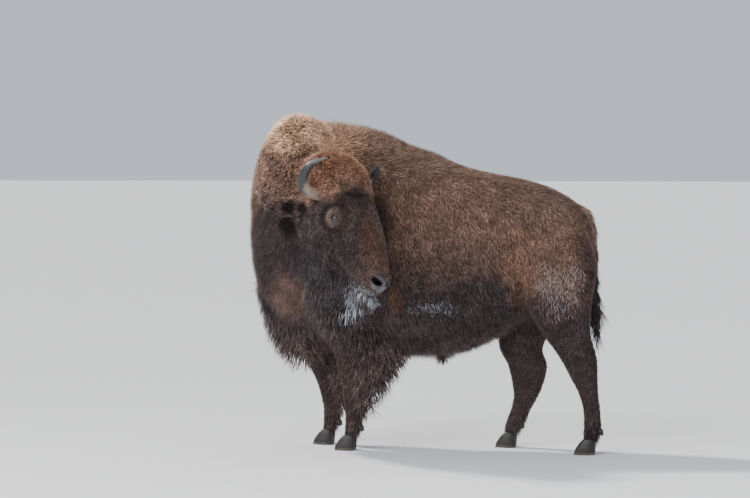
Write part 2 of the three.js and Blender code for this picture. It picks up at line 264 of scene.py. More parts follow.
# %% [markdown]
# ## A finer net on the head
# Lids and nostrils need points a few millimetres apart, and a flank doesn't. So only the edges round
# the face and the ears are cut in two, and those near the eyes and the nostrils once more. The places
# of eye, nostril and ear are named here, in the head's own axes: along the nose, to the left ear, out
# of the forehead. The right ear hangs lower than the left, so each has its own tip.

# %% Divide the head's net
SIDES = {"left": 1.0, "right": -1.0}
EYE_AT = (0.166, 0.132, 0.008)
NOSTRIL_AT = (0.508, 0.046, 0.034)
EAR_ROOT = (0.058, 0.092, -0.095)
EAR_TIP = {"left": (-0.076, 0.216, 0.006), "right": (-0.038, -0.247, -0.249)}


def ear_axes(side):
    """The ear's root, the way to its tip, the way its hollow opens, and the way across it."""
    root = on_head(EAR_ROOT[0], SIDES[side] * EAR_ROOT[1], EAR_ROOT[2])
    reach = on_head(*EAR_TIP[side]) - root
    opens = Vector((0, 0, 1)).cross(reach).normalized()
    if opens.dot(BROW) < 0:
        opens.negate()
    return root, reach, opens, reach.cross(opens).normalized()


EARS = {side: ear_axes(side) for side in SIDES}
EAR_GIRTH = 0.075                  # divided this far from the line through an ear
EYE_GIRTH = 0.042                  # divided twice this near an eye
MUZZLE_FROM, LIP_FROM = 0.47, -0.07


def head_place(co):
    """One point as along the nose, to the left ear and out of the forehead."""
    return Vector([(co - HEAD_MIDDLE).dot(axis) for axis in (NOSEWARD, EARWARD, BROW)])


def in_ear(co, root, reach):
    t = (co - root).dot(reach) / reach.length_squared
    return -0.1 < t < 1.2 and (co - root - reach * t).length < EAR_GIRTH


def in_face(co):
    along, aside, out = head_place(co)
    if any(in_ear(co, root, reach) for root, reach, _, _ in EARS.values()):
        return True
    return 0.09 < along < 0.60 and abs(aside) < 0.19 and -0.12 < out < 0.20


def near_feature(co):
    spot = head_place(co)
    eye = Vector((EYE_AT[0], math.copysign(EYE_AT[1], spot.y), EYE_AT[2]))
    return (spot - eye).length < EYE_GIRTH or (spot.x > MUZZLE_FROM and spot.z > LIP_FROM)


def divide(bm, wanted):
    """Cut every edge in two where both its ends are wanted."""
    chosen = [e for e in bm.edges if all(wanted(v.co) for v in e.verts)]
    bmesh.ops.subdivide_edges(bm, edges=chosen, cuts=1, use_grid_fill=True)


bm = bmesh.new()
bm.from_mesh(skin.data)
divide(bm, in_face)
divide(bm, near_feature)
bm.to_mesh(skin.data)
bm.free()
outline = points_of(skin.data)
edges = edges_of(skin.data)
parts = nearest_parts(outline)
print("net after dividing:", len(outline), "points")

# %% [markdown]
# ## No ledge under the cheek
# The head's solid overhangs the beard's with a sharp edge, but on the animal the cheek's wool runs on
# into the beard. The net is relaxed strongly along that border, which fills the ledge with a soft slope.

# %% Soften the border of cheek and beard
BORDER_BLUR = 30                   # rounds, so that the border is about a hand wide
BORDER_ROUNDS = 160
THIN_FORMS = ("leg", "neck")       # relaxing has thinned these a little
GROW_THIN = 0.0045
face_part = np.isin(parts, [COAT_PARTS.index(n) for n in ("head", "lower_jaw")]).astype(float)
hair_part = np.isin(parts, [COAT_PARTS.index(n) for n in ("beard", "neck")]).astype(float)
near_face, near_hair = relaxed(face_part, edges, BORDER_BLUR), relaxed(hair_part, edges, BORDER_BLUR)
border = np.clip(4 * near_face * near_hair, 0.0, 1.0)
head_spot = head_places(outline)
border *= smoothstep(0.03, 0.09, head_spot[:, 0]) * smoothstep(0.50, 0.40, head_spot[:, 0])
border *= smoothstep(-0.01, -0.06, head_spot[:, 2])
outline = relaxed(outline, edges, BORDER_ROUNDS, 0.9 * border)
thin = np.isin(parts, [i for i, n in enumerate(COAT_PARTS) if n.startswith(THIN_FORMS)])
outline += normals_of(skin.data) * (GROW_THIN * relaxed(thin.astype(float), edges, BLUR_ROUNDS))[:, None]
put_points(skin.data, outline)
print("softened points:", int((border > 0.3).sum()))

# %% [markdown]
# ## The skin, inside the outline by the coat's depth
# A bison's wool is a few millimetres deep on the face and shins, two centimetres on the barrel, and
# more than a hand on the crown, mane and beard. The net moves inward along its normals in small
# steps and is relaxed after each, so that it doesn't fold. A tuft of hair that is thin keeps a core.

# %% Depth of the coat
DEPTH = {"trunk": 0.020, "neck": 0.032, "head": 0.006, "lower_jaw": 0.010, "crown_hair": 0.040,
         "beard": 0.060, "throat_mane": 0.060, "leg": 0.010, "chaps": 0.050, "tail": 0.008,
         "tail_tuft": 0.030, "ear": 0.004, "belly_tuft": 0.040}
TRUNK_DEPTH = (0.013, 0.027)       # on the rump and on the hump
LEG_DEPTH = (0.006, 0.015)         # on the shin and on the thigh
THIN_SHARE = 0.30                  # a coat takes no more than this share of a thin form
FAR = 0.4
STEPS = 6


def between(ends, share):
    return ends[0] + (ends[1] - ends[0]) * share


forward = TRUNK_MIDDLE.x - outline[:, 0]
depth = by_part(DEPTH, parts)
is_trunk = parts == COAT_PARTS.index("trunk")
depth = np.where(is_trunk, between(TRUNK_DEPTH, smoothstep(-0.1, 0.5, forward)), depth)
is_leg = np.char.startswith(np.array(COAT_PARTS), "leg")[parts]
depth = np.where(is_leg, between(LEG_DEPTH, smoothstep(0.45, 0.85, outline[:, 2])), depth)
net_faces = [tuple(p.vertices) for p in skin.data.polygons]
net_tree = BVHTree.FromPolygons([Vector(p) for p in outline], net_faces)
normals = normals_of(skin.data)


def room_within(point, normal):
    """How far it is to the other side of the form."""
    start = Vector(point) - Vector(normal) * 0.002
    hit = net_tree.ray_cast(start, -Vector(normal), FAR)
    return hit[3] if hit[0] is not None else FAR


room = np.array([room_within(p, n) for p, n in zip(outline, normals)])
depth = np.minimum(depth, THIN_SHARE * relaxed(room, edges, 3))
depth = relaxed(depth, edges, 10)
co = outline.copy()
for _ in range(STEPS):
    co = co - normals_of(skin.data) * (depth / STEPS)[:, None]
    co = relaxed(co, edges, 2, np.clip(depth * 12, 0.0, 0.5))
    put_points(skin.data, co)
print("coat depth from", round(float(depth.min()), 4), "to", round(float(depth.max()), 4))

# %% [markdown]
# ## The face
# The remesh leaves a smooth muzzle like a worn toy. The face is then worked as a sculptor would work
# clay: raise the ring of the eye socket and the brow, press a pit at the inner corner of the eye, sink the
# nostrils and lift their rims, and draw the mouth. Each stroke is a smooth push that fades with distance,
# given in the head's own axes, and is made on both sides.

# %% Strokes on the face
EYE_LOOKS = (0.08, 0.95, 0.20)     # the way the left eye faces
# about the eye: offset from it, radius of the ring (0 for a spot), width, and height or depth
EYE_STROKES = (
    ("dome over the ball", (0.0, 0.0, 0.0), 0.0, 0.038, 0.016),
    ("groove round the dome", (0.0, 0.0, 0.0), 0.062, 0.013, -0.008),
    ("brow", (-0.034, 0.0, 0.016), 0.0, 0.022, 0.008),
    ("tear pit", (0.036, 0.0, -0.004), 0.0, 0.011, -0.007),
)
SOCKET_EDGE = (0.0215, 0.015)      # the skin sinks behind the lids between these radii
SOCKET_DEPTH = 0.013
NOSTRIL_LOOKS = (0.34, 0.66, 0.67)
NOSTRIL_RUNS = (0.66, -0.74, 0.10)     # from its upper outer end to its lower inner end
NOSTRIL_HALF = (0.031, 0.0145)     # half its length and half its width
NOSTRIL_DEPTH, NOSTRIL_RIM = 0.032, 0.005
MOUTH = ((0.550, 0.0, -0.030), (0.541, 0.032, -0.044), (0.518, 0.054, -0.060),
         (0.478, 0.066, -0.076), (0.430, 0.072, -0.094))
MOUTH_DEPTH, LIP_RISE = 0.008, 0.003
LIP_OFF = 0.016                    # the lip's roll lies this far from the mouth line
MUZZLE_CORE = (0.40, 0.0, -0.03)


def mirrored(place, sign):
    return np.array((place[0], place[1] * sign, place[2]))


def unit(vectors):
    return vectors / np.maximum(np.linalg.norm(vectors, axis=-1, keepdims=True), 1e-9)


def fade(distance, width):
    return np.exp(-(distance / width) ** 2)


def across(offsets, facing):
    """How far each offset is from the line along `facing`, and how far in front."""
    ahead = offsets @ facing
    return np.linalg.norm(offsets - ahead[:, None] * facing, axis=1), ahead


def along_path(points, path):
    """Distance from each point to a path of straight pieces."""
    best = np.full(len(points), 9.0)
    for a, b in zip(path[:-1], path[1:]):
        step = b - a
        t = np.clip((points - a) @ step / (step @ step), 0.0, 1.0)
        best = np.minimum(best, np.linalg.norm(points - a - t[:, None] * step, axis=1))
    return best


def push(places, where, way, heights):
    places[where] += way * heights[where][:, None]


clay = points_of(skin.data)
before_strokes = clay.copy()
places = head_places(clay)
in_head = (places[:, 0] > 0.0) & (np.abs(places[:, 1]) < 0.22)
in_head &= (places[:, 2] > -0.25) & (places[:, 2] < 0.2)
print("points that the strokes may move:", int(in_head.sum()))

# %% [markdown]
# ## Sockets and brows
# The eye sits in a low dome with a groove round it, under a short brow, and has a pit at its inner
# corner. Each is one line of the table above. A last stroke sinks the skin behind the lids, so that it
# can't show through them.

# %% Eye sockets and brows
for sign in SIDES.values():
    facing = unit(mirrored(EYE_LOOKS, sign))
    eye = mirrored(EYE_AT, sign)
    reach, ahead = across(places - eye, facing)
    front = in_head & (ahead > -0.03) & (places[:, 1] * sign > 0)
    for _, shift, ring, width, height in EYE_STROKES:
        gap, _ = across(places - eye - np.array(shift), facing)
        push(places, front, facing, height * fade(gap - ring, width))
    push(places, front, facing, -SOCKET_DEPTH * smoothstep(*SOCKET_EDGE, reach))
print("strokes at each eye:", len(EYE_STROKES) + 1)

# %% [markdown]
# ## Nostrils and mouth
# A nostril is an oval bent into a comma: sunk inside, with a raised rim round it. The mouth is a thin
# groove along a few named places, with the lip rising a little beside it. Cutting holes would break
# the closed skin, so both are only pressed in.

# %% Nostrils and mouth
nostril_deep = np.zeros(len(clay))
for sign in SIDES.values():
    looks = unit(mirrored(NOSTRIL_LOOKS, sign))
    runs = mirrored(NOSTRIL_RUNS, sign)
    runs = unit(runs - looks * (runs @ looks))
    offset = places - mirrored(NOSTRIL_AT, sign)
    p = offset @ runs / NOSTRIL_HALF[0]
    q = offset @ np.cross(looks, runs) * sign / NOSTRIL_HALF[1]
    q = q + 0.35 * p * p - 0.15            # bends the oval into a comma
    from_rim = np.hypot(p, q)
    front = in_head & (offset @ looks > -0.035)
    deep = smoothstep(1.1, 0.7, from_rim)
    nostril_deep = np.maximum(nostril_deep, np.where(front, deep, 0))
    push(places, front, looks, NOSTRIL_RIM * fade(from_rim - 1.35, 0.35))
    push(places, front, looks, -NOSTRIL_DEPTH * deep)
    outward = unit(places - np.array(MUZZLE_CORE))
    lip = along_path(places, [mirrored(place, sign) for place in MOUTH])
    sunk = MOUTH_DEPTH * fade(lip, 0.0065) - LIP_RISE * fade(lip - LIP_OFF, 0.008)
    places -= np.where(in_head[:, None], outward * sunk[:, None], 0)
clay = np.array(HEAD_MIDDLE) + places @ HEAD_AXES
outline += clay - before_strokes
put_points(skin.data, clay)
print("nostril floor points:", int((nostril_deep > 0.9).sum()))

# %% [markdown]
# ## The hollow of the ear
# The ear's solid is already a scoop, so no stroke is needed. Its hollow is only marked, from the root
# almost to the tip on the side that opens, because hair is thin there; its dark colour is painted shade.

# %% Where the ear is hollow
EAR_HALF_WIDTH = ((0.0, 0.25, 0.55, 0.8, 1.0), (0.024, 0.044, 0.050, 0.040, 0.012))
ear_hollow = np.zeros(len(clay))
for root, reach, opens, aslant in EARS.values():
    offset = clay - np.array(root)
    t = offset @ np.array(reach) / reach.length_squared
    from_middle = np.abs(offset @ np.array(aslant)) / np.interp(t, *EAR_HALF_WIDTH)
    hollow = smoothstep(0.18, 0.36, t) * smoothstep(0.95, 0.80, t) * smoothstep(0.85, 0.45, from_middle)
    opening = offset @ np.array(opens)
    ear_hollow = np.maximum(ear_hollow, hollow * (opening > -0.004) * (opening < 0.05))
print("points in the ears' hollows:", int((ear_hollow > 0.5).sum()))

# %% [markdown]
# ## Eyes and lids
# A bison's eye is a dark wet ball as big as a walnut, and little white shows. The ball is a sphere with
# a slightly raised cornea. The lids are shells just over the ball: half a circle from one corner of the
# eye to the other is spun about the line between the corners, and stops short of the opening. That
# gives the almond shape without cutting.

# %% Naming the finished pieces
pieces = {}


def shown(made, name, slot, *nodes):
    """Names a finished piece, rides it on the frame and hides the solids it stands for."""
    made.name = name
    made.data.name = name
    made.data.shade_smooth()
    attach(made, "root")
    if nodes:
        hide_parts(*nodes)
    pieces[name] = made
    return made


def eye_axes(sign):
    """The way an eye looks, the way to its front corner, and the way up across it."""
    looks = Vector(mirrored(EYE_LOOKS, sign) @ HEAD_AXES).normalized()
    level = looks.cross(Vector((0, 0, 1))).normalized()
    if level.dot(NOSEWARD) < 0:
        level.negate()
    turnings = [Matrix.Rotation(way * EYE_SLANT, 4, looks) @ level for way in (1, -1)]
    corner = min(turnings, key=lambda way: way.z)
    upward = looks.cross(corner).normalized()
    return looks, corner, upward if upward.z > 0 else -upward


# %% [markdown]
# ## Eyeballs
# An eyeball is a ball with a slight bulge in front, the cornea, which catches the light. It is turned
# so that its front corner lies lower than its back one, and takes the place of the eye's solid.

# %% Eyeballs
EYE_RADIUS = 0.021
EYE_SLANT = math.radians(16)       # the front corner lies lower than the back one
CORNEA_RADIUS, CORNEA_RISE = 0.0125, 0.0016


def eyeball(centre, turn, front):
    bm = bmesh.new()
    bmesh.ops.create_uvsphere(bm, u_segments=40, v_segments=26, radius=EYE_RADIUS)
    for v in bm.verts:
        from_axis = math.hypot(v.co.x, v.co.y)
        if v.co.z * front > 0:
            v.co.z += front * CORNEA_RISE * (1 - min(from_axis / CORNEA_RADIUS, 1.0) ** 2)
    bmesh.ops.transform(bm, matrix=Matrix.Translation(centre) @ turn, verts=bm.verts)
    bmesh.ops.recalc_face_normals(bm, faces=bm.faces)
    return object_from(bm, "eyeball")


for side, sign in SIDES.items():
    centre = on_head(EYE_AT[0], sign * EYE_AT[1], EYE_AT[2])
    looks, corner, upward = eye_axes(sign)
    turn = Matrix((corner, upward, corner.cross(upward))).transposed().to_4x4()
    front = 1.0 if corner.cross(upward).dot(looks) > 0 else -1.0
    shown(eyeball(centre, turn, front), f"eyeball_{side}", "eye", f"eye_{side}")
    print(f"{side} eye at", [round(v, 3) for v in centre])

# %% [markdown]
# ## Lids
# A lid is a thin shell that fits the ball. Half a circle at the lid's edge is spun about the line
# through the eye's two corners, then given a thickness and rounded edges. The upper lid and the lower
# one are made by one function, and each is a piece of its own.

# %% Lids
LID_GAP = 0.0007
LID_THICK = 0.0026
LID_EDGE = 0.0006
LID_REACH = math.radians(88)
LID_ARC = 24                       # steps from one corner of the eye to the other
LIDS = (("upper", math.radians(27), 1.0), ("lower", math.radians(24), -1.0))


def lid(centre, looks, corner, up, opening):
    """Half a circle at the lid's edge, spun away from the opening and given a thickness."""
    bm = bmesh.new()
    radius = EYE_RADIUS + LID_GAP
    edge = looks * math.cos(opening) + up * math.sin(opening)
    arc = []
    for k in range(LID_ARC + 1):
        turned = math.pi * k / LID_ARC
        arc.append(bm.verts.new(centre + radius * (math.cos(turned) * corner + math.sin(turned) * edge)))
    for a, b in zip(arc[:-1], arc[1:]):
        bm.edges.new((a, b))
    bmesh.ops.spin(bm, geom=bm.verts[:] + bm.edges[:], cent=centre, axis=looks.cross(up).normalized(),
                   dvec=(0, 0, 0), angle=LID_REACH - opening, steps=12, use_merge=False, use_duplicate=False)
    bmesh.ops.remove_doubles(bm, verts=bm.verts, dist=WELD)
    bmesh.ops.recalc_face_normals(bm, faces=bm.faces)
    face = max(bm.faces, key=lambda f: f.calc_area())
    if face.normal.dot(face.calc_center_median() - centre) < 0:
        bmesh.ops.reverse_faces(bm, faces=bm.faces)
    made = object_from(bm, "lid")
    shell = made.modifiers.new("thickness", "SOLIDIFY")
    shell.thickness = LID_THICK
    shell.offset = 1.0
    shell.use_rim = True
    soft = made.modifiers.new("round edges", "BEVEL")
    soft.width = LID_EDGE
    soft.segments = 2
    return baked(made)


for side, sign in SIDES.items():
    centre = on_head(EYE_AT[0], sign * EYE_AT[1], EYE_AT[2])
    looks, corner, upward = eye_axes(sign)
    for which, opening, swing in LIDS:
        made = lid(centre, looks, corner, upward * swing, opening)
        shown(made, f"eyelid_{which}_{side}", "coat_head")
print("lids:", sum(name.startswith("eyelid") for name in pieces))

# %% [markdown]
# ## Horns
# A horn is a cone of fibres that grows from its base, so it has rings near the head and is smooth and
# dark towards the tip. It is a chain of circles along a curved path, bridged into one skin. The path
# goes through the same points as the solid's. Every point of the mesh keeps two numbers for the
# material: how far along the horn it is, and how far round it towards the hollow side of the hook.

# %% Horns
HORN_POINTS = ((0.030, 0.093, -0.029), (0.014, 0.148, -0.037), (0.000, 0.191, -0.041),
               (-0.033, 0.216, -0.033), (-0.059, 0.231, -0.006), (-0.078, 0.235, 0.034),
               (-0.089, 0.219, 0.079), (-0.087, 0.181, 0.125))
HORN_BASE = 0.030
HORN_TAPER = ((0, 0.35, 0.6, 0.75, 0.9, 1.0), (0.92, 0.90, 0.77, 0.57, 0.32, 0.05))
HORN_RINGS = 84
HORN_SIDES = 28
PATH_POINTS = 200


def on_curve(points, t):
    """A point on a smooth curve through all the points, t from 0 to 1."""
    p = [2 * points[0] - points[1], *points, 2 * points[-1] - points[-2]]
    spot = min(t, 0.99999) * (len(points) - 1)
    k, w = int(spot), spot - int(spot)
    p0, p1, p2, p3 = p[k:k + 4]
    d0, d1, d2 = ((b - a).length ** 0.5 for a, b in ((p0, p1), (p1, p2), (p2, p3)))
    m1 = ((p1 - p0) / d0 - (p2 - p0) / (d0 + d1) + (p2 - p1) / d1) * d1
    m2 = ((p2 - p1) / d1 - (p3 - p1) / (d1 + d2) + (p3 - p2) / d2) * d1
    return ((2 * w**3 - 3 * w**2 + 1) * p1 + (w**3 - 2 * w**2 + w) * m1
            + (3 * w**2 - 2 * w**3) * p2 + (w**3 - w**2) * m2)


def horn_radius(t):
    """The taper, with growth rings that fade out towards the tip."""
    ridge = 0.022 * math.sin(t * 150) + 0.012 * math.sin(t * 61 + 1.0)
    near_base = float(smoothstep(0.62, 0.20, np.array(t)))
    return HORN_BASE * float(np.interp(t, *HORN_TAPER)) * (1 + ridge * near_base)


def rim_of(ring):
    return list({e for v in ring for e in v.link_edges if e.other_vert(v) in ring})


def horn_mesh(points):
    bm = bmesh.new()
    before = None
    for k in range(HORN_RINGS + 1):
        t = k / HORN_RINGS
        here = on_curve(points, t)
        ahead = on_curve(points, min(1.0, t + 0.004))
        back = on_curve(points, max(0.0, t - 0.004))
        turn = (ahead - back).to_track_quat("Z", "X").to_matrix().to_4x4()
        ring = bmesh.ops.create_circle(bm, cap_ends=k in (0, HORN_RINGS), radius=horn_radius(t),
                                       segments=HORN_SIDES, matrix=Matrix.Translation(here) @ turn)["verts"]
        rim = rim_of(ring)
        if before:
            bmesh.ops.bridge_loops(bm, edges=before + rim)
        before = rim
    bmesh.ops.recalc_face_normals(bm, faces=bm.faces)
    return object_from(bm, "horn")


def keep_numbers(mesh, name, values):
    kept = mesh.attributes.new(name, "FLOAT", "POINT")
    kept.data.foreach_set("value", values.astype(np.float32))


for side, sign in SIDES.items():
    points = [on_head(along, sign * aside, out) for along, aside, out in HORN_POINTS]
    horn = horn_mesh(points)
    path = np.array([on_curve(points, t) for t in np.linspace(0, 1, PATH_POINTS)])
    horn_co = points_of(horn.data)
    nearest = np.argmin(((horn_co[:, None, :] - path[None]) ** 2).sum(axis=2), axis=1)
    hub = np.array(sum(points[1:], Vector()) / (len(points) - 1))
    inward = unit(hub - path[nearest])
    keep_numbers(horn.data, "grown", nearest / (PATH_POINTS - 1.0))
    keep_numbers(horn.data, "inside", np.einsum("nd,nd->n", unit(horn_co - path[nearest]), inward))
    shown(horn, f"horn_{side}_fine", "horn", f"horn_{side}")
    print(f"{side} horn:", len(horn_co), "points")

# %% [markdown]
# ## Hooves
# Each foot has two claws that stand on the ground and two small ones behind. The solids have the right
# shape with flat facets. A fine remesh and a little relaxing round them, the soles are pressed flat
# again, and shallow growth rings run round the wall. The dewclaws sink into the hair a little.

# %% Hooves and dewclaws
RING_STEP = 0.0085                 # from one growth ring to the next
RING_RISE = 0.0004
SOLE = 0.0035                      # what lies lower is pressed to the ground
# mesh width, rounds of relaxing, and how far the wall moves out
CLAWS = {"hoof": (0.0028, 16, 0.0010), "dewclaw": (0.0018, 12, -0.0030)}


def claw(name, mesh_width, rounds, swell):
    made = object_from(merged_copy(name), "claw")
    net = made.modifiers.new("fine net", "REMESH")
    net.mode = "VOXEL"
    net.voxel_size = mesh_width
    baked(made)
    wall = relaxed(points_of(made.data), edges_of(made.data), rounds)
    put_points(made.data, wall)
    rings = np.sin(wall[:, 2] * 2 * np.pi / RING_STEP + 0.6 * np.sin(wall[:, 0] * 40))
    wall += normals_of(made.data) * (RING_RISE * rings + swell)[:, None]
    if name.startswith("hoof"):
        wall[:, 2] = np.where(wall[:, 2] < SOLE, 0.0, wall[:, 2])
    put_points(made.data, wall)
    return made


for name in sorted(solids):
    kind = name.split("_")[0]
    if kind in CLAWS:
        shown(claw(name, *CLAWS[kind]), name + "_fine", "hoof", name)
print("claws made:", sum(n.startswith(("hoof", "dewclaw")) for n in pieces))

# %% [markdown]
# ## The lie of the coat
# Hair leaves the skin at a slant and then lies along it. On the barrel it runs down and a little back,
# on the neck down and away from the top of the crest, on the crown forward from the poll, on the face
# along the bridge and down the cheeks, and on legs, beard, throat and chaps straight down. A guide
# direction is given for each part, blurred where parts meet, and pressed into the skin at each root.
# A few slow waves turn it, so that locks gather.

# %% Guides for the lie
skin_co = points_of(skin.data)
skin_normals = normals_of(skin.data)
places = head_places(skin_co)
forward = TRUNK_MIDDLE.x - skin_co[:, 0]
height = skin_co[:, 2]
coat_rise = outline - skin_co


def part_is(*starts):
    chosen = np.zeros(len(parts), dtype=bool)
    for index, name in enumerate(COAT_PARTS):
        if name.startswith(starts):
            chosen |= parts == index
    return chosen


BACK = np.array((1.0, 0.0, 0.0))
DOWN = np.array((0.0, 0.0, -1.0))
NOSE = np.array(NOSEWARD)
OUT = np.array(BROW)
CREST_TOP = np.array(at(0.70, 0.26, 1.62))
POLL = np.array(on_head(-0.12, 0.0, 0.02))
lie = np.tile(DOWN, (len(skin_co), 1))
trunk = part_is("trunk")
down_share = 0.5 + 2.0 * smoothstep(1.50, 1.10, height) + 0.4 * smoothstep(-0.35, -0.6, forward)
lie[trunk] = (BACK + DOWN * down_share[:, None])[trunk]
neck = part_is("neck")
from_crest = unit(skin_co - CREST_TOP)
lie[neck] = (from_crest * 0.8 + DOWN * 0.8)[neck]
face = part_is("head", "lower_jaw")
cheekward = unit(-NOSE * 0.35 - OUT * 1.0 + DOWN * 0.5)
bridgeward = unit(NOSE * 1.0 + OUT * 0.1)
on_cheek = smoothstep(0.05, -0.06, places[:, 2])[:, None]
lie[face] = (bridgeward * (1 - on_cheek) + cheekward * on_cheek)[face]
under_jaw = face & ((places[:, 2] < -0.085) | part_is("lower_jaw"))
lie[under_jaw] = unit(DOWN - 0.25 * NOSE)
crown = part_is("crown_hair")
from_poll = unit(skin_co - POLL)
lie[crown] = (from_poll * 0.7 + NOSE * 0.7)[crown]
for side, (_, reach, _, _) in EARS.items():
    lie[part_is("ear_" + side)] = unit(np.array(reach))
lie = unit(relaxed(lie, edges, 8))
print("guides at", len(lie), "points")

# %% [markdown]
# ## Sizes of the locks
# Length and width are set for each part. The face has the smallest locks, the beard and chaps the
# longest. `spacing` is how far apart the roots are, `wander` how much a lock strays from the guide,
# `hang` how far it may leave the skin and hang free, and `curl` how much it bends to one side. Zones
# then change a part's own values where the wool is longer or finer, and all is blurred a little.

# %% Lengths, widths and spacing
#                 length  width   spacing wander  hang   curl
LOCKS = {
    "trunk":       (0.024, 0.0034, 0.0050, 0.30, 0.15, 0.20),
    "neck":        (0.034, 0.0032, 0.0042, 0.60, 0.30, 0.40),
    "head":        (0.017, 0.0025, 0.0027, 0.35, 0.12, 0.25),
    "lower_jaw":   (0.050, 0.0036, 0.0042, 0.30, 0.90, 0.25),
    "crown_hair":  (0.036, 0.0031, 0.0032, 0.90, 0.45, 0.70),
    "beard":       (0.100, 0.0050, 0.0064, 0.30, 0.95, 0.30),
    "throat_mane": (0.095, 0.0052, 0.0066, 0.26, 1.00, 0.25),
    "leg":         (0.020, 0.0034, 0.0058, 0.25, 0.10, 0.15),
    "chaps":       (0.095, 0.0052, 0.0068, 0.34, 1.00, 0.30),
    "tail":        (0.070, 0.0046, 0.0050, 0.20, 0.60, 0.15),
    "tail_tuft":   (0.105, 0.0034, 0.0050, 0.16, 1.00, 0.20),
    "ear":         (0.034, 0.0034, 0.0042, 0.55, 0.40, 0.40),
    "belly_tuft":  (0.050, 0.0046, 0.0070, 0.30, 1.00, 0.30),
}
COLUMNS = ("length", "width", "spacing", "wander", "hang", "curl")
LENGTH, WIDTH, SPACING, WANDER, HANG, CURL = range(6)
sizes = by_part({part: np.array(row) for part, row in LOCKS.items()}, parts)


def zone(chosen, **values):
    """Other sizes for the chosen points."""
    for name, value in values.items():
        sizes[chosen, COLUMNS.index(name)] = value


along, aside, out_of = places[:, 0], np.abs(places[:, 1]), places[:, 2]
zone(part_is("neck") & (height > 1.40), length=0.030, wander=0.9, curl=0.6)
# the crest's curly locks give way to the mane's straight ones along a wavy line
wavy = 0.035 * (np.sin(skin_co @ np.array((37, -21, 9))) + np.sin(skin_co @ np.array((-16, 43, 0)) + 1.0))
mane = part_is("neck") & (height + wavy <= 1.22)
zone(mane, width=0.0032, spacing=0.0035)
zone(part_is("neck") & (height < 1.10), length=0.055, width=0.0036, hang=0.6)
zone(trunk & (forward > 0.25), length=0.030, width=0.0038)
zone(part_is("leg") & (height < 0.45), length=0.014, width=0.0030)
zone(part_is("leg") & (height < 0.18), length=0.042, hang=0.8)
zone(trunk & (skin_normals[:, 2] < -0.75) & (forward > -0.25), length=0.050, hang=0.8)
cheek = part_is("head") & (out_of < -0.045) & (along > 0.02) & (along < 0.44)
zone(cheek, length=0.034, width=0.0033, spacing=0.0036, wander=0.6, curl=0.5, hang=0.35)
jowl = part_is("head") & (out_of < -0.100) & (along > 0.04)
zone(jowl, length=0.070, width=0.0038, spacing=0.0042, wander=0.45, curl=0.4, hang=0.80)
zone(part_is("head") & (along > 0.36) & (out_of < -0.01) & (out_of > -0.085), length=0.024)
zone(part_is("head") & (along < 0.06) & (out_of > 0.0), length=0.030, wander=0.6, curl=0.5)
upper_beard = part_is("beard") & (height > 0.86)
zone(upper_beard, length=0.075, width=0.0044, spacing=0.0056, wander=0.45, curl=0.4, hang=0.7)
from_chin = np.linalg.norm(skin_co - np.array(at(0.35, 0.57, 0.72)), axis=1)
chin = part_is("beard") & (from_chin < 0.15)
zone(chin, length=0.050, width=0.0038, spacing=0.0056, wander=0.5)
sizes = relaxed(sizes, edges, 8)
print("mean spacing of the roots:", round(float(sizes[:, SPACING].mean()), 4))

# %% [markdown]
# ## Shorter at the eye, longer at the horn
# The hair round an eye is short, or it would hang over the lids, and so is the hair on the muzzle. Where
# a horn leaves the head, longer wool hangs over its foot and hides the joint.

# %% Shorter at the eye, longer at the horn
HORN_FOOT = (0.022, 0.125, -0.034)
EYE_SHORTEST = 0.42                # share of its length that hair keeps at the lids
HORN_EXTRA = 0.022


def eye_gap_of(points, sign):
    """How far each point lies from the line an eye looks along, or far for points elsewhere."""
    facing = unit(mirrored(EYE_LOOKS, sign))
    gap, ahead = across(points - mirrored(EYE_AT, sign), facing)
    return np.where((points[:, 1] * sign > 0) & (np.abs(ahead) < 0.05), gap, 9.0)


horn_gap = np.full(len(places), 9.0)
for sign in SIDES.values():
    shrink = between((EYE_SHORTEST, 1.0), smoothstep(0.026, 0.060, eye_gap_of(places, sign)))
    sizes[:, LENGTH] *= shrink
    sizes[:, WIDTH] *= np.sqrt(shrink)
    horn_gap = np.minimum(horn_gap, np.linalg.norm(places - mirrored(HORN_FOOT, sign), axis=1))
near_horn = smoothstep(0.075, 0.035, horn_gap)
sizes[:, LENGTH] += HORN_EXTRA * near_horn
sizes[:, HANG] = np.maximum(sizes[:, HANG], 0.9 * near_horn)
muzzle = part_is("head") * smoothstep(0.40, 0.50, along) * smoothstep(-0.03, 0.02, out_of)
sizes[:, LENGTH] *= 1 - 0.5 * muzzle
shortest, longest = sizes[:, LENGTH].min(), sizes[:, LENGTH].max()
print("locks from", round(shortest, 3), "to", round(longest, 3), "m long")

# %% [markdown]
# ## Bare skin
# No hair grows on the nose leather, inside the nostrils, on the edges of the lids or on the horn bases.
# The nose leather lies between and under the nostrils and reaches down to the lip.

# %% Where no hair grows
# middle and half sizes of the leather round a nostril and across the front, in the head's axes
LEATHER_SIDE = ((0.512, 0.034, 0.028), (0.036, 0.034, 0.040))
LEATHER_FRONT = ((0.548, 0.0, 0.006), (0.030, 0.036, 0.030))
HOOF_TOP = (0.045, 0.060)          # the hair begins between these heights
leather = nostril_deep.copy()
for sign in SIDES.values():
    from_nostril = np.linalg.norm((places - mirrored(LEATHER_SIDE[0], sign)) / LEATHER_SIDE[1], axis=1)
    leather = np.maximum(leather, smoothstep(1.15, 0.95, from_nostril))
from_front = np.linalg.norm((places - np.array(LEATHER_FRONT[0])) / LEATHER_FRONT[1], axis=1)
leather = np.maximum(leather, smoothstep(1.1, 0.95, from_front)) * part_is("head")
cover = 1 - leather
for sign in SIDES.values():
    cover *= smoothstep(0.019, 0.025, eye_gap_of(places, sign))
cover *= 1 - 0.9 * ear_hollow
cover *= smoothstep(*HOOF_TOP, height)
print("bare points:", int((cover < 0.5).sum()))

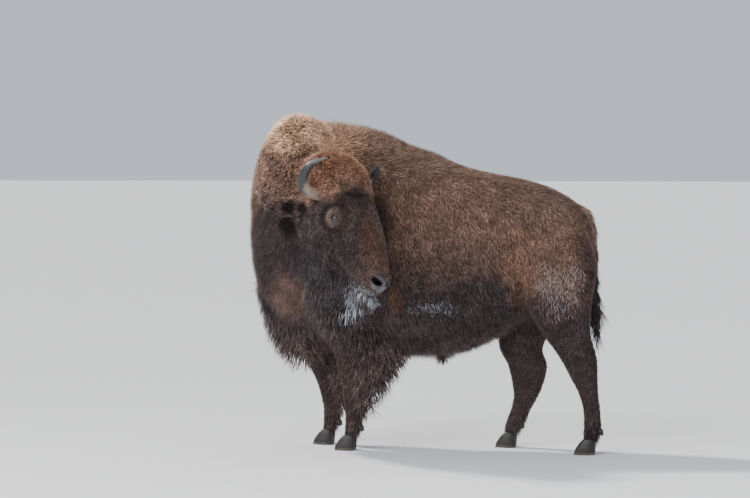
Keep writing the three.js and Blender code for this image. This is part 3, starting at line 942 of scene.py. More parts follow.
# %% [markdown]
# ## One lock, many times
# A lock is a closed three-sided blade: a low ridge with two flanks, narrowing to one point. On short
# smooth hair one ring and a tip are enough, a needle of four triangles. Woolly hair gets a second
# ring and long hair a third, so that they can bend. All the locks of one piece are worked out
# together as arrays, because a million faces made one by one would take minutes. Each lock keeps
# three numbers for the materials: two of chance, and how far along it a point is.

# %% Locks as arrays
SINK = 0.0015                      # roots start this far under the skin
LOCK_SECTION = ((1.0, 0.0), (0.0, 0.85), (-1.0, 0.0))     # across and up, in half widths
PATCH_ACROSS, PATCH_ALONG = 0.0014, 0.0028                # of the lock's patch of texture
rng = np.random.default_rng(7)


def lock_mesh(name, root, along, up, out, length, width, bend, uv, rings):
    """Closed blades from arrays of roots, directions and sizes. A ring is (how far along, how wide)."""
    count = len(root)
    side = unit(np.cross(along, up))
    steps = list(rings) + [(1.0, 0.0)]
    co, spot, share = [], [], []
    chance = rng.random((count, 2))
    for t, fat in steps:
        rise = 1 - (1 - t) ** 2
        centre = (root - up * SINK + along * (length * t)[:, None] + out * rise
                  + side * (bend * length * t * t)[:, None])
        half = width * 0.5 * fat
        corners = LOCK_SECTION if fat > 0 else ((0.0, 0.0),)
        for beside, high in corners:
            co.append(centre + side * (half * beside)[:, None] + up * (half * high)[:, None])
            spot.append(uv + np.array((beside * PATCH_ACROSS, (t - 0.5) * PATCH_ALONG)))
            share.append(np.stack([chance[:, 0], np.full(count, t), chance[:, 1]], axis=1))
    per_lock = len(co)
    co, spot, share = (np.stack(block, axis=1).reshape(count * per_lock, -1) for block in (co, spot, share))
    faces = [[0, 1, 2]]
    for k in range(len(rings) - 1):
        for a, b in ((0, 1), (1, 2), (2, 0)):
            faces.append([3 * k + a, 3 * k + 3 + a, 3 * k + 3 + b, 3 * k + b])
    last, tip = 3 * (len(rings) - 1), per_lock - 1
    faces += [[last + a, tip, last + b] for a, b in ((0, 1), (1, 2), (2, 0))]
    loops_one = np.concatenate(faces)
    starts_one = np.cumsum([0] + [len(f) for f in faces[:-1]])
    loops = (loops_one[None, :] + (np.arange(count) * per_lock)[:, None]).ravel()
    starts = (starts_one[None, :] + (np.arange(count) * len(loops_one))[:, None]).ravel()
    return mesh_from_arrays(name, co, loops, starts, spot, share), count * (4 + 6 * (len(rings) - 1))


def mesh_from_arrays(name, co, loops, starts, spot, share):
    """A mesh with its UV map and the locks' numbers, all filled in one go."""
    mesh = bpy.data.meshes.new(name)
    mesh.vertices.add(len(co))
    mesh.vertices.foreach_set("co", co.ravel().astype(np.float32))
    mesh.loops.add(len(loops))
    mesh.loops.foreach_set("vertex_index", loops.astype(np.int32))
    mesh.polygons.add(len(starts))
    mesh.polygons.foreach_set("loop_start", starts.astype(np.int32))
    mesh.update(calc_edges=True)
    mesh.shade_smooth()
    layer = mesh.uv_layers.new(name="OFBake")
    layer.data.foreach_set("uv", spot[loops].ravel().astype(np.float32))
    lock = mesh.attributes.new("lock", "FLOAT_VECTOR", "POINT")
    lock.data.foreach_set("vector", share.ravel().astype(np.float32))
    made = bpy.data.objects.new(name, mesh)
    bpy.context.collection.objects.link(made)
    return made


print("a lock's section has", len(LOCK_SECTION), "corners")

# %% [markdown]
# ## Where the roots go
# Each coat piece covers a patch of the skin. The patch is unwrapped by itself, so that a lock's small
# patch of texture lies where its root does. Roots are spread by area: the running total of the
# triangles' areas is cut into even steps, and one root falls at random in each step.

# %% Patches, their unwraps and their roots
skin.data.calc_loop_triangles()
triangles = np.empty(len(skin.data.loop_triangles) * 3, dtype=np.int32)
skin.data.loop_triangles.foreach_get("vertices", triangles)
triangles = triangles.reshape(-1, 3)
print("skin:", len(triangles), "triangles")
UNWRAP_ANGLE = math.radians(70)
UNWRAP_MARGIN = 0.004


def unwrapped(tris):
    """A place in the unit square for each corner of the patch."""
    used, local = np.unique(tris, return_inverse=True)
    mesh = bpy.data.meshes.new("patch")
    mesh.from_pydata(skin_co[used], [], local.reshape(-1, 3))
    patch = bpy.data.objects.new("patch", mesh)
    bpy.context.collection.objects.link(patch)
    bpy.context.view_layer.objects.active = patch
    for other in bpy.context.selected_objects:
        other.select_set(False)
    patch.select_set(True)
    bpy.ops.object.mode_set(mode="EDIT")
    bpy.ops.mesh.select_all(action="SELECT")
    bpy.ops.uv.smart_project(angle_limit=UNWRAP_ANGLE, island_margin=UNWRAP_MARGIN)
    bpy.ops.object.mode_set(mode="OBJECT")
    spots = np.empty(len(tris) * 6, dtype=np.float32)
    mesh.uv_layers.active.data.foreach_get("uv", spots)
    bpy.data.objects.remove(patch)
    bpy.data.meshes.remove(mesh)
    return spots.reshape(-1, 3, 2)


def spread(tris, density):
    """Triangle numbers and weights of the roots, with one root in each even share of the area."""
    a, b, c = (skin_co[tris[:, k]] for k in range(3))
    area = np.linalg.norm(np.cross(b - a, c - a), axis=1) / 2
    running = np.cumsum(area * density[tris].mean(axis=1))
    count = int(running[-1])
    picks = np.searchsorted(running, (np.arange(count) + rng.random(count)) * running[-1] / count)
    picks = np.minimum(picks, len(tris) - 1)
    r, s = np.sqrt(rng.random(count)), rng.random(count)
    return picks, np.stack([1 - r, r * (1 - s), r * s], axis=1)


# %% [markdown]
# ## One piece of the coat
# Each root takes its place, its normal, its guide and its sizes from the three corners of the skin's
# triangle. The guide is pressed into the skin, so that a lock lies along it, and turned by a slow wave
# that neighbours share and a little chance of its own, so that locks gather in tufts as wool does.

# %% One piece of the coat
WAVES = (((31, 17, 23), 0.4), ((-19, 37, 11), 2.1), ((13, -29, 41), 4.0))
WAVE_TURN, OWN_TURN = 0.35, 0.5    # shares of the wander
LENGTHS = (0.75, 1.2)              # each lock's own share of the length, the width and the rise
WIDTHS = (0.8, 1.2)
RISES = (0.80, 1.30)


def coat_piece(name, chosen, rings):
    tris = triangles[chosen[triangles[:, 0]]]
    picks, weights = spread(tris, 1.0 / sizes[:, SPACING] ** 2 * cover)
    corners = tris[picks]
    count = len(picks)

    def blend(values):
        return np.einsum("nk,nkd->nd", weights, values[corners].reshape(count, 3, -1))

    root, up, out, guide, size = (blend(v) for v in (skin_co, skin_normals, coat_rise, lie, sizes))
    up = unit(up)
    swirl = sum(np.sin(root @ np.array(wave) + start) for wave, start in WAVES)
    angle = size[:, WANDER] * (WAVE_TURN * swirl + rng.normal(0, OWN_TURN, count))
    into = np.einsum("nd,nd->n", guide, up)
    guide = unit(guide - up * np.where(into < 0, into, into * (1 - size[:, HANG]))[:, None])
    turned = guide * np.cos(angle)[:, None] + np.cross(up, guide) * np.sin(angle)[:, None]
    length = size[:, LENGTH] * rng.uniform(*LENGTHS, count)
    width = size[:, WIDTH] * rng.uniform(*WIDTHS, count)
    out = out * rng.uniform(*RISES, count)[:, None]
    bend = size[:, CURL] * rng.normal(0, 1, count)
    spots = np.einsum("nk,nkd->nd", weights, unwrapped(tris)[picks])
    made, made_of = lock_mesh(name, root, turned, up, out, length, width, bend, spots, rings)
    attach(made, "root")
    print(f"{name}: {count} locks, {made_of} triangles")
    return made


# %% [markdown]
# ## The fifteen pieces of the coat
# A piece of mesh is easiest to handle under two hundred thousand triangles, so the coat is cut where
# its kind of hair changes. Each piece names the kind of lock it is made of and a finish, and all of
# them get the one hair finish below.

# %% The pieces of the coat
NEEDLE = ((0.0, 1.0),)
WOOL = ((0.0, 0.9), (0.55, 0.8))
LONG = ((0.0, 0.9), (0.35, 1.0), (0.7, 0.7))
COATS = (
    ("coat_hump", trunk & (forward > 0.28), NEEDLE, "coat_body"),
    ("coat_barrel", trunk & (forward <= 0.28) & (forward > -0.16), NEEDLE, "coat_body"),
    ("coat_rump", trunk & (forward <= -0.16), NEEDLE, "coat_body"),
    ("coat_crest", neck & ~mane, WOOL, "coat_mane"),
    ("coat_mane", neck & mane, NEEDLE, "coat_mane"),
    ("coat_face", part_is("head") & ~(cheek | jowl), NEEDLE, "coat_head"),
    ("coat_cheeks", part_is("lower_jaw") | cheek | jowl, WOOL, "coat_head"),
    ("coat_ears", part_is("ear"), WOOL, "coat_head"),
    ("coat_crown", crown, LONG, "coat_crown"),
    ("coat_fore_legs", part_is("leg_fore"), NEEDLE, "coat_legs"),
    ("coat_hind_legs", part_is("leg_hind"), NEEDLE, "coat_legs"),
    ("coat_beard", part_is("beard"), LONG, "coat_long"),
    ("coat_throat", part_is("throat_mane"), LONG, "coat_long"),
    ("coat_chaps", part_is("chaps", "belly_tuft"), LONG, "coat_long"),
    ("coat_tail", part_is("tail"), LONG, "coat_long"),
)
coats = {}
for name, chosen, rings, slot in COATS:
    coats[name] = coat_piece(name, chosen, rings)

# %% [markdown]
# ## Small helpers for nodes
# A material is a tree of nodes, and the same few moves come up again and again: do a sum, mix two
# colours, read a noise, turn one range of numbers into another. Each gets a short function here, so
# that the materials below read like recipes. A colour is given as it looks on a screen, and turned
# into the linear numbers that a shader takes.

# %% Helpers for nodes
def linear(red, green, blue):
    """A colour as seen on a screen, 0 to 255, as the linear numbers that a shader takes."""
    shares = [level / 255 for level in (red, green, blue)]
    return tuple(((share + 0.055) / 1.055) ** 2.4 if share > 0.04 else share / 12.92 for share in shares)


def node(tree, kind, **settings):
    made = tree.nodes.new(kind)
    for key, value in settings.items():
        setattr(made, key, value)
    return made


def feed(tree, socket, value):
    """Link an output to the socket, or set the number, the place or the colour on it."""
    if hasattr(value, "is_linked"):
        tree.links.new(value, socket)
    elif socket.type == "RGBA":
        socket.default_value = (*value[:3], 1.0)
    else:
        socket.default_value = value


def math_node(tree, operation, *values):
    made = node(tree, "ShaderNodeMath", operation=operation)
    for socket, value in zip(made.inputs, values):
        feed(tree, socket, value)
    return made.outputs[0]


def vector_node(tree, operation, *values, output="Vector"):
    made = node(tree, "ShaderNodeVectorMath", operation=operation)
    for socket, value in zip(made.inputs, values):
        feed(tree, socket, value)
    return made.outputs[output]


def mix_color(tree, factor, a, b, blend="MIX"):
    made = node(tree, "ShaderNodeMix", data_type="RGBA", blend_type=blend)
    for socket, value in ((made.inputs["Factor"], factor), (made.inputs[6], a), (made.inputs[7], b)):
        feed(tree, socket, value)
    return made.outputs[2]


def noise(tree, vector, scale, detail=2.0, rough=0.5, output="Fac"):
    made = node(tree, "ShaderNodeTexNoise")
    for name, value in (("Vector", vector), ("Scale", scale), ("Detail", detail), ("Roughness", rough)):
        feed(tree, made.inputs[name], value)
    return made.outputs[output]


def mapped(tree, value, from_low, from_high, to_low=0.0, to_high=1.0):
    """The value taken from one range to another, easing in and out, and kept inside it."""
    made = node(tree, "ShaderNodeMapRange", interpolation_type="SMOOTHSTEP")
    for name, number in (("Value", value), ("From Min", from_low), ("From Max", from_high),
                         ("To Min", to_low), ("To Max", to_high)):
        feed(tree, made.inputs[name], number)
    return made.outputs["Result"]


def object_place(tree):
    return node(tree, "ShaderNodeTexCoord").outputs["Object"]


def attribute(tree, name, output="Fac"):
    return node(tree, "ShaderNodeAttribute", attribute_name=name).outputs[output]


def bump(tree, height, strength, distance):
    made = node(tree, "ShaderNodeBump")
    for name, value in (("Height", height), ("Strength", strength), ("Distance", distance)):
        feed(tree, made.inputs[name], value)
    return made.outputs["Normal"]


def material(name, **sockets):
    """A new material with constants set on its shader's own sockets, such as Roughness."""
    made = bpy.data.materials.new(name)
    made.use_nodes = True
    shader = made.node_tree.nodes["Principled BSDF"]
    for socket, value in sockets.items():
        feed(made.node_tree, shader.inputs[socket.replace("_", " ")], value)
    return made, made.node_tree, shader.inputs


print("mid grey as a shader takes it:", [round(share, 3) for share in linear(128, 128, 128)])

# %% [markdown]
# ## The markings
# One group of nodes holds the colours of the whole animal: dark below, warm brown above, a pale
# woolly crest, an orange crown, and so on, along with painted shade round the eyes, in the ears and
# under the right ear. Each marking is a soft ball, stretched to fit, round a named place. Skin and coat
# use the same group on the object's own coordinates, so they always agree. An image painted over an
# unwrap would do too, but it would have seams and one fixed sharpness.

# %% Colours
UPPER = linear(157, 125, 108)
LOWER = linear(82, 74, 76)
UPPER_FROM, UPPER_TO = 0.60, 1.16  # heights between which LOWER turns to UPPER
EYE_MARKS_AND_SHADE = []
for side in ("right", "left"):
    socket = on_head(0.156, SIDES[side] * 0.142, -0.002)
    # painted shade: a dark ring round the eye, over the groove round its dome
    EYE_MARKS_AND_SHADE.append((side + " eye hollow shade", socket, (0.076, 0.076, 0.076), linear(46, 39, 40), 0.75))
    EYE_MARKS_AND_SHADE.append((side + " lids", socket, (0.046, 0.046, 0.046), linear(142, 123, 115), 0.9))
# name, place, half sizes along x, y and z, colour, strength
MARKS_AND_SHADE = [
    ("hump", at(0.30, 0.00, 1.45), (0.55, 0.40, 0.24), linear(170, 139, 120), 0.8),
    ("rump", at(-0.58, 0.05, 1.08), (0.26, 0.30, 0.26), linear(156, 128, 114), 0.8),
    ("thigh", at(-0.52, 0.20, 0.90), (0.18, 0.20, 0.24), linear(164, 130, 111), 0.7),
    ("groin", at(-0.34, 0.21, 0.86), (0.07, 0.18, 0.20), linear(172, 130, 106), 0.5),
    ("flank", at(-0.12, 0.24, 0.69), (0.30, 0.20, 0.14), linear(80, 72, 74), 0.7),
    ("neck", at(0.74, 0.44, 0.98), (0.27, 0.32, 0.30), linear(78, 68, 69), 0.92),
    ("neck top", at(0.74, 0.44, 1.36), (0.24, 0.30, 0.16), linear(150, 120, 104), 0.9),
    ("crest", at(0.66, 0.27, 1.55), (0.25, 0.30, 0.15), linear(240, 200, 166), 1.0),
    ("crest right", at(0.56, 0.15, 1.50), (0.19, 0.18, 0.12), linear(236, 194, 160), 0.9),
    ("behind head", at(0.34, 0.26, 0.95), (0.12, 0.14, 0.24), linear(74, 64, 64), 0.85),
    ("crown", on_head(-0.09, 0.0, 0.03), (0.19, 0.20, 0.16), linear(163, 120, 97), 1.0),
    ("crown edge", on_head(-0.09, 0.15, 0.09), (0.11, 0.08, 0.13), linear(226, 178, 150), 0.9),
    ("forehead", on_head(0.085, 0.0, 0.06), (0.15, 0.16, 0.07), linear(88, 72, 69), 0.95),
    ("cheek", on_head(0.24, 0.0, -0.14), (0.24, 0.25, 0.26), linear(80, 71, 72), 1.0),
    ("face", on_head(0.28, 0.0, -0.02), (0.20, 0.19, 0.18), linear(74, 64, 64), 0.9),
    ("bridge", on_head(0.33, 0.0, 0.085), (0.10, 0.09, 0.15), linear(120, 91, 79), 0.8),
    ("beard", at(0.46, 0.46, 0.76), (0.24, 0.20, 0.24), linear(74, 68, 69), 0.9),
    *EYE_MARKS_AND_SHADE,
    # painted shadow: a near-black spot under the hanging right ear
    ("shadow below right ear", at(0.699, 0.510, 1.085), (0.050, 0.050, 0.060), linear(34, 29, 30), 0.85),
    ("shoulder tuft", at(0.228, 0.294, 0.715), (0.035, 0.07, 0.075), linear(160, 114, 88), 0.5),
    ("throat", at(0.72, 0.33, 0.73), (0.10, 0.15, 0.15), linear(150, 120, 110), 0.6),
    ("legs", at(0.10, 0.05, 0.28), (1.30, 1.00, 0.40), linear(102, 85, 82), 0.85),
    ("thigh back", at(-0.67, 0.14, 0.86), (0.07, 0.12, 0.20), linear(104, 86, 83), 0.75),
    ("tail root", at(-0.76, 0.02, 1.05), (0.09, 0.08, 0.20), linear(124, 101, 96), 0.85),
    ("tail end", at(-0.70, 0.00, 0.72), (0.12, 0.10, 0.24), linear(66, 57, 58), 0.85),
]
# painted shade: near black in the hollow of each ear, on its opening side
for side, (root, reach, opens, _) in EARS.items():
    for t in (0.30, 0.60):
        MARKS_AND_SHADE.append((side + " ear hollow shade", root + reach * t + opens * 0.006, (0.034, 0.034, 0.034),
                         linear(30, 26, 27), 0.95))
# where snow dust and frost cling to the tips: name, place, half sizes, share of the locks
FROST = (
    ("lips", on_head(0.50, -0.045, -0.075), (0.060, 0.060, 0.050), 0.55),
    ("chin", at(0.355, 0.595, 0.765), (0.075, 0.080, 0.060), 0.42),
    ("chin edge", at(0.300, 0.560, 0.735), (0.055, 0.080, 0.032), 0.75),
    ("chin low", at(0.375, 0.560, 0.680), (0.070, 0.080, 0.032), 0.65),
    ("thigh", at(-0.527, 0.258, 0.783), (0.125, 0.150, 0.125), 0.34),
    ("flank", at(0.056, 0.262, 0.689), (0.095, 0.100, 0.038), 0.30),
    ("face edge", on_head(0.27, 0.095, 0.060), (0.060, 0.060, 0.150), 0.12),
)
print("markings:", len(MARKS_AND_SHADE), "and frosted places:", len(FROST))

# %% [markdown]
# ## Mixing the markings
# Seen close, a marking has no clean edge. So the place is moved about by a wide noise and a close one
# before its distance from a ball's middle is measured. Small markings, such as those at the eyes and
# ears, stay where they are. The frost is kept apart from the colours, since only hair carries it.

# %% The group of markings
BALL_EDGE = (1.35, 0.55)           # a marking fades out between these shares of its half size
SMALL = 0.077                      # markings up to this half size don't waver
WIDE_WAVER = (6.0, 0.20)           # scale of the noise, and how far it moves a place
CLOSE_WAVER = (34.0, 0.045)


def soft_ball(group, place, name, centre, half, strength):
    """The strength inside a stretched ball, fading to zero outside it."""
    ball = node(group, "ShaderNodeMapping", vector_type="TEXTURE", label=name)
    feed(group, ball.inputs["Vector"], place)
    feed(group, ball.inputs["Location"], centre)
    feed(group, ball.inputs["Scale"], half)
    gap = vector_node(group, "LENGTH", ball.outputs[0], output="Value")
    return mapped(group, gap, *BALL_EDGE, 0.0, strength)


def shifted(group, place, scale, amount):
    """The place moved about by a noise, so that edges waver."""
    waver = noise(group, place, scale, 3.0, output="Color")
    centred = vector_node(group, "SUBTRACT", waver, (0.5, 0.5, 0.5))
    shift = node(group, "ShaderNodeVectorMath", operation="SCALE")
    feed(group, shift.inputs[0], centred)
    feed(group, shift.inputs["Scale"], amount)
    return vector_node(group, "ADD", place, shift.outputs[0])


def markings_group():
    group = bpy.data.node_groups.new("bison markings and shade", "ShaderNodeTree")
    group.interface.new_socket("Color", in_out="OUTPUT", socket_type="NodeSocketColor")
    group.interface.new_socket("Frost", in_out="OUTPUT", socket_type="NodeSocketFloat")
    place = object_place(group)
    wide = shifted(group, place, *WIDE_WAVER)
    close = shifted(group, wide, *CLOSE_WAVER)
    height_of = node(group, "ShaderNodeSeparateXYZ")
    feed(group, height_of.inputs[0], wide)
    band = mapped(group, height_of.outputs["Z"], UPPER_FROM, UPPER_TO)
    color = mix_color(group, band, LOWER, UPPER)
    for name, centre, half, tint, strength in MARKS_AND_SHADE:
        spot = close if max(half) > SMALL else place
        color = mix_color(group, soft_ball(group, spot, name, centre, half, strength), color, tint)
    frost = 0.0
    for name, centre, half, amount in FROST:
        frost = math_node(group, "MAXIMUM", soft_ball(group, close, name, centre, half, amount), frost)
    end = node(group, "NodeGroupOutput")
    feed(group, end.inputs["Color"], color)
    feed(group, end.inputs["Frost"], frost)
    return group


markings = markings_group()
print("nodes in the markings:", len(markings.nodes))

# %% [markdown]
# ## Hair, and the skin under it
# Wool isn't one colour: neighbouring hairs differ, a lock is darker at its root, and whole tufts are
# paler or darker. So the marking's colour is multiplied by each lock's own chance, by how far along it
# a point is, and by three noises from the size of a tuft to that of a hand. Frost whitens the outer
# part of some locks only. The skin shows between the locks as shade, so it is the same colour, darker.

# %% Hair and skin
CHANCE = (1.30, 0.35)              # what a lock's chance adds at most, and the least brightness
TIPWARD = (1.00, 0.42)             # the same from root to tip
TUFTS = ((90.0, 2.2), (26.0, 1.5), (10.0, 0.9))           # scale and strength of each noise
FROST_FROM, FROST_TO = 0.15, 0.60  # shares of a lock's length
FROST_COLOR = linear(196, 200, 208)
UNDER_SHADE = (0.35, 0.33, 0.33)


def marked(tree):
    """The markings in a material: their colour and their frost."""
    group = node(tree, "ShaderNodeGroup", node_tree=markings)
    return group.outputs["Color"], group.outputs["Frost"]


def hair_material():
    made, tree, shader = material("coat", Roughness=0.62, Specular_IOR_Level=0.15)
    marking, frost = marked(tree)
    lock = node(tree, "ShaderNodeSeparateXYZ")
    feed(tree, lock.inputs[0], attribute(tree, "lock", "Vector"))
    chance, along, second_chance = lock.outputs
    shade = math_node(tree, "MULTIPLY", math_node(tree, "MULTIPLY_ADD", chance, *CHANCE),
                      math_node(tree, "MULTIPLY_ADD", along, *TIPWARD))
    place = object_place(tree)
    for scale, amount in TUFTS:
        tuft = math_node(tree, "MULTIPLY_ADD", noise(tree, place, scale), amount, 1.0 - amount / 2)
        shade = math_node(tree, "MULTIPLY", shade, tuft)
    grey = node(tree, "ShaderNodeCombineColor")
    for socket in grey.inputs:
        feed(tree, socket, shade)
    color = mix_color(tree, 1.0, marking, grey.outputs[0], "MULTIPLY")
    picked = math_node(tree, "LESS_THAN", second_chance, frost)
    frosted = math_node(tree, "MULTIPLY", picked, mapped(tree, along, FROST_FROM, FROST_TO))
    feed(tree, shader["Base Color"], mix_color(tree, frosted, color, FROST_COLOR))
    return made


def skin_material():
    made, tree, shader = material("skin under the coat", Roughness=0.8, Specular_IOR_Level=0.08)
    marking, _ = marked(tree)
    feed(tree, shader["Base Color"], mix_color(tree, 1.0, marking, UNDER_SHADE, "MULTIPLY"))
    return made


hair = hair_material()
for made in coats.values():
    made.data.materials.append(hair)
print("coat pieces with the hair finish:", len(coats))

# %% [markdown]
# ## Mottle, for horn, hoof, leather, lid and iris
# Natural surfaces share one trait: two close colours mixed by a fine grain, which is felt as well as
# seen. So it is one group of nodes with inputs for the grain and the two colours. It puts out the
# mixed colour, and the grain itself as a height for a bump.

# %% Mottle
GRAIN = ("Vector", "Scale", "Detail", "Roughness")


def mottle_group():
    group = bpy.data.node_groups.new("mottle", "ShaderNodeTree")
    for name in GRAIN:
        kind = "NodeSocketVector" if name == "Vector" else "NodeSocketFloat"
        group.interface.new_socket(name, in_out="INPUT", socket_type=kind)
    for name in ("Dark", "Light"):
        group.interface.new_socket(name, in_out="INPUT", socket_type="NodeSocketColor")
    group.interface.new_socket("Color", in_out="OUTPUT", socket_type="NodeSocketColor")
    group.interface.new_socket("Height", in_out="OUTPUT", socket_type="NodeSocketFloat")
    given = node(group, "NodeGroupInput").outputs
    grain = noise(group, *(given[name] for name in GRAIN))
    end = node(group, "NodeGroupOutput")
    feed(group, end.inputs["Color"], mix_color(group, grain, given["Dark"], given["Light"]))
    feed(group, end.inputs["Height"], grain)
    return group


mottle = mottle_group()


def mottled(tree, vector, scale, dark, light, detail=3.0, rough=0.5):
    """The mottle in a material: its colour and its height."""
    made = node(tree, "ShaderNodeGroup", node_tree=mottle)
    for name, value in (("Vector", vector), ("Scale", scale), ("Detail", detail), ("Roughness", rough),
                        ("Dark", dark), ("Light", light)):
        feed(tree, made.inputs[name], value)
    return made.outputs["Color"], made.outputs["Height"]


print("inputs of the mottle:", [item.name for item in mottle.interface.items_tree if item.in_out == "INPUT"])

# %% [markdown]
# ## Nose leather and lids
# The nose is bare, dark and wet, and pebbled like a football: cells with fine dark grooves, under a
# thin clear coat. The inside of the nostril is painted almost black, as the shade of a deep opening. A lid
# is dull and finely creased.

# %% Nose leather and lids
def leather_material():
    made, tree, shader = material("nose leather", Roughness=0.30, Coat_Weight=0.8, Coat_Roughness=0.15)
    place = object_place(tree)
    cells = node(tree, "ShaderNodeTexVoronoi", feature="DISTANCE_TO_EDGE")
    feed(tree, cells.inputs["Vector"], place)
    feed(tree, cells.inputs["Scale"], 260.0)
    pebble = mapped(tree, cells.outputs["Distance"], 0.0, 0.25)
    color, _ = mottled(tree, place, 60.0, linear(66, 64, 68), linear(104, 101, 106))
    feed(tree, shader["Base Color"], mix_color(tree, pebble, linear(30, 29, 31), color))
    feed(tree, shader["Normal"], bump(tree, pebble, 0.6, 0.0008))
    return made


# painted shade: the nostril's floor is near black, standing for the shade inside a deep opening
def nostril_shade_material():
    made, _, _ = material("painted shade inside the nostril", Base_Color=linear(14, 11, 12), Roughness=0.6,
                          Specular_IOR_Level=0.1)
    return made


def lid_material():
    made, tree, shader = material("eyelid", Roughness=0.42)
    color, creases = mottled(tree, object_place(tree), 420.0, linear(30, 25, 24), linear(74, 62, 57))
    feed(tree, shader["Base Color"], color)
    feed(tree, shader["Normal"], bump(tree, creases, 0.4, 0.0006))
    return made


COATED, LEATHER, NOSTRIL = range(3)
skin.data.materials.clear()
for finish in (skin_material(), leather_material(), nostril_shade_material()):
    skin.data.materials.append(finish)


def finish_of(face):
    corners = list(face.vertices)
    if nostril_deep[corners].mean() > 0.8:
        return NOSTRIL
    return LEATHER if leather[corners].mean() > 0.5 else COATED


finishes = np.array([finish_of(face) for face in skin.data.polygons], dtype=np.int32)
skin.data.polygons.foreach_set("material_index", finishes)
skin.data.shade_smooth()
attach(skin, "root")
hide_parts(*COAT_PARTS)
print("faces of leather:", int((finishes == LEATHER).sum()), "and in the nostrils:",
      int((finishes == NOSTRIL).sum()))

# %% [markdown]
# ## Eyes
# The iris is dark brown with a wide pupil, lying across as in all cattle, and the white is brownish
# and mostly hidden by the lids. A clear coat makes it wet. The pattern is an oval in the eye's own
# axes: each point's place from the ball's centre is measured across and up by dot products.

# %% Eyes
IRIS_HALF = (0.0172, 0.0165)
PUPIL_HALF = (0.0095, 0.0056)


def eye_material(side):
    made, tree, shader = material("eye " + side, Roughness=0.12, Coat_Weight=0.6, Coat_Roughness=0.02)
    _, corner, upward = eye_axes(SIDES[side])
    place = object_place(tree)
    centre = on_head(EYE_AT[0], SIDES[side] * EYE_AT[1], EYE_AT[2])
    local = vector_node(tree, "SUBTRACT", place, centre)

    def oval(half):
        """Zero at the middle of the eye and one on an oval of this size."""
        shares = [vector_node(tree, "DOT_PRODUCT", local, axis / reach, output="Value")
                  for axis, reach in zip((corner, upward), half)]
        squares = [math_node(tree, "MULTIPLY", share, share) for share in shares]
        return math_node(tree, "SQRT", math_node(tree, "ADD", *squares))

    iris = mapped(tree, oval(IRIS_HALF), 1.08, 0.95)
    pupil = mapped(tree, oval(PUPIL_HALF), 1.10, 0.88)
    brown, _ = mottled(tree, place, 900.0, linear(20, 12, 8), linear(50, 29, 17), detail=2.0)
    color = mix_color(tree, iris, linear(84, 68, 58), brown)
    feed(tree, shader["Base Color"], mix_color(tree, pupil, color, linear(6, 6, 9)))
    return made


eye_finishes = {side: eye_material(side) for side in SIDES}
print("eyes finished:", list(eye_finishes))

# %% [markdown]
# ## Horns and hooves
# Both are grown of the same fibres. A horn is pale and dull near the head, and along the hollow of the
# hook it is worn and also painted paler as light, since that side faces up and inward; it is dark slate on
# its outer side, and polished near the tip, whose grey colour is partly a painted highlight. It reads the
# two numbers kept on its points. A hoof has its fibres running down the wall, and is scuffed at the sole.

# %% Horns and hooves
def horn_material():
    made, tree, shader = material("horn")
    place = object_place(tree)
    cloud = noise(tree, place, 34.0, 4.0, 0.6)
    waver = math_node(tree, "MULTIPLY_ADD", cloud, 0.34, -0.17)
    way = math_node(tree, "ADD", attribute(tree, "grown"), waver)
    # painted light along with wear: the side of the hook that faces up and inward is made paler
    worn_and_lit = math_node(tree, "MULTIPLY_ADD", attribute(tree, "inside"), -0.20, way)
    pale, _ = mottled(tree, place, 150.0, linear(84, 68, 59), linear(164, 141, 124), 4.0, 0.65)
    dark, fine = mottled(tree, place, 150.0, linear(10, 11, 15), linear(56, 58, 66), 4.0, 0.65)
    color = mix_color(tree, mapped(tree, worn_and_lit, 0.30, 0.50), pale, dark)
    # painted highlight, partly: the light grey mixed in at the tip stands for the shine of the polished horn
    color = mix_color(tree, mapped(tree, way, 0.78, 0.98), color, linear(104, 104, 106))
    feed(tree, shader["Base Color"], color)
    feed(tree, shader["Roughness"], mapped(tree, way, 0.2, 0.7, 0.62, 0.32))
    feed(tree, shader["Normal"], bump(tree, fine, 0.35, 0.0008))
    return made


def hoof_material():
    made, tree, shader = material("hoof", Roughness=0.48)
    place = object_place(tree)
    streak = node(tree, "ShaderNodeMapping")
    feed(tree, streak.inputs["Vector"], place)
    feed(tree, streak.inputs["Scale"], (160.0, 160.0, 14.0))
    color, fibres = mottled(tree, streak.outputs[0], 1.0, linear(20, 18, 17), linear(50, 44, 40))
    low = node(tree, "ShaderNodeSeparateXYZ")
    feed(tree, low.inputs[0], place)
    scuffed = math_node(tree, "MULTIPLY", mapped(tree, low.outputs["Z"], 0.018, 0.0),
                        noise(tree, place, 22.0, 3.0))
    feed(tree, shader["Base Color"], mix_color(tree, scuffed, color, linear(122, 112, 100)))
    feed(tree, shader["Normal"], bump(tree, fibres, 0.3, 0.0006))
    return made


hoof_finish = hoof_material()
finish_by_kind = {"horn": horn_material(), "eyelid": lid_material()}
for kind in ("hoof", "dewclaw"):
    finish_by_kind[kind] = hoof_finish
for name, made in pieces.items():
    kind, side = name.split("_")[:2]
    made.data.materials.clear()
    made.data.materials.append(eye_finishes[side] if kind == "eyeball" else finish_by_kind[kind])
print("small pieces finished:", len(pieces))

# %% [markdown]
# ## The stage
# A plain pale floor and soft light from a clear sky show the coat's own colours. A low lamp stands for
# a winter sun over the animal's back, so that the crest is rimmed with light, and a large soft lamp
# on the near side keeps the face from sinking into shade. None of it belongs to the object.

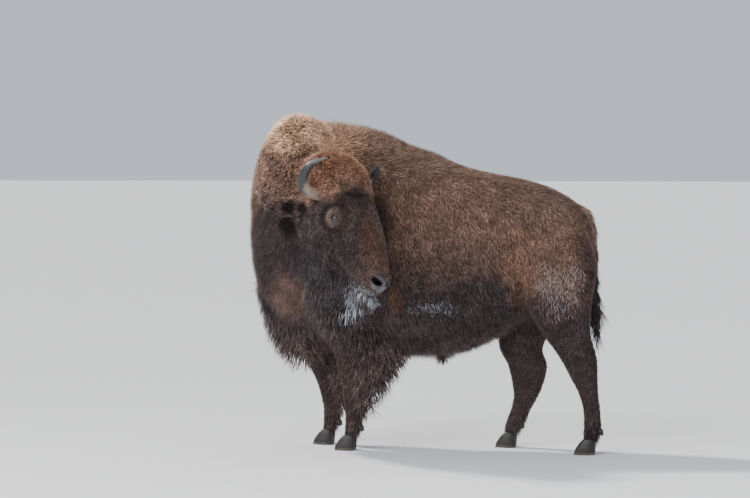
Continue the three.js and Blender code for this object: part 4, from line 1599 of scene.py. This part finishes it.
# %% Stage
FLOOR_SIZE = 240
FLOOR_COLOR = (0.75, 0.76, 0.78)
SKY_COLOR, SKY_STRENGTH = (0.80, 0.86, 0.95), 0.8
FILL_AT, FILL_AIM, FILL_SIZE, FILL_WATTS = (-2.5, -6.0, 4.5), (0, 0, 0.8), 4.0, 420
SUN_STRENGTH, SUN_SOFTNESS = 3.6, math.radians(6)
SUN_COLOR = (1.0, 0.94, 0.86)
SUN_WAY = (4.0, -2.2, -4.4)

bpy.ops.mesh.primitive_plane_add(size=FLOOR_SIZE)
floor = bpy.context.object
floor.name = "floor"
floor_finish, _, _ = material("floor", Base_Color=FLOOR_COLOR, Roughness=0.9)
floor.data.materials.append(floor_finish)
world = bpy.data.worlds.new("studio")
world.use_nodes = True
sky = world.node_tree.nodes["Background"].inputs
sky[0].default_value = (*SKY_COLOR, 1)
sky[1].default_value = SKY_STRENGTH
bpy.context.scene.world = world


def lamp(name, kind, strength, way, **settings):
    """A lamp that shines along `way`."""
    data = bpy.data.lights.new(name, kind)
    data.energy = strength
    for key, value in settings.items():
        setattr(data, key, value)
    made = bpy.data.objects.new(name, data)
    made.rotation_euler = Vector(way).to_track_quat("-Z", "Y").to_euler()
    bpy.context.collection.objects.link(made)
    return made


fill = lamp("front fill", "AREA", FILL_WATTS, Vector(FILL_AIM) - Vector(FILL_AT), size=FILL_SIZE)
fill.location = FILL_AT
lamp("low sun", "SUN", SUN_STRENGTH, SUN_WAY, angle=SUN_SOFTNESS, color=SUN_COLOR)
print("lamps:", len(bpy.data.lights))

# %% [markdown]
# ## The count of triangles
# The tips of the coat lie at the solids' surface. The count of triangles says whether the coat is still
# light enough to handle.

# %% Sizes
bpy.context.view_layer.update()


def triangles_in(thing):
    thing.data.calc_loop_triangles()
    return len(thing.data.loop_triangles)


seen = [thing for thing in bpy.context.scene.objects if thing.type == "MESH" and not thing.hide_render]
print("triangles shown:", sum(triangles_in(thing) for thing in seen))
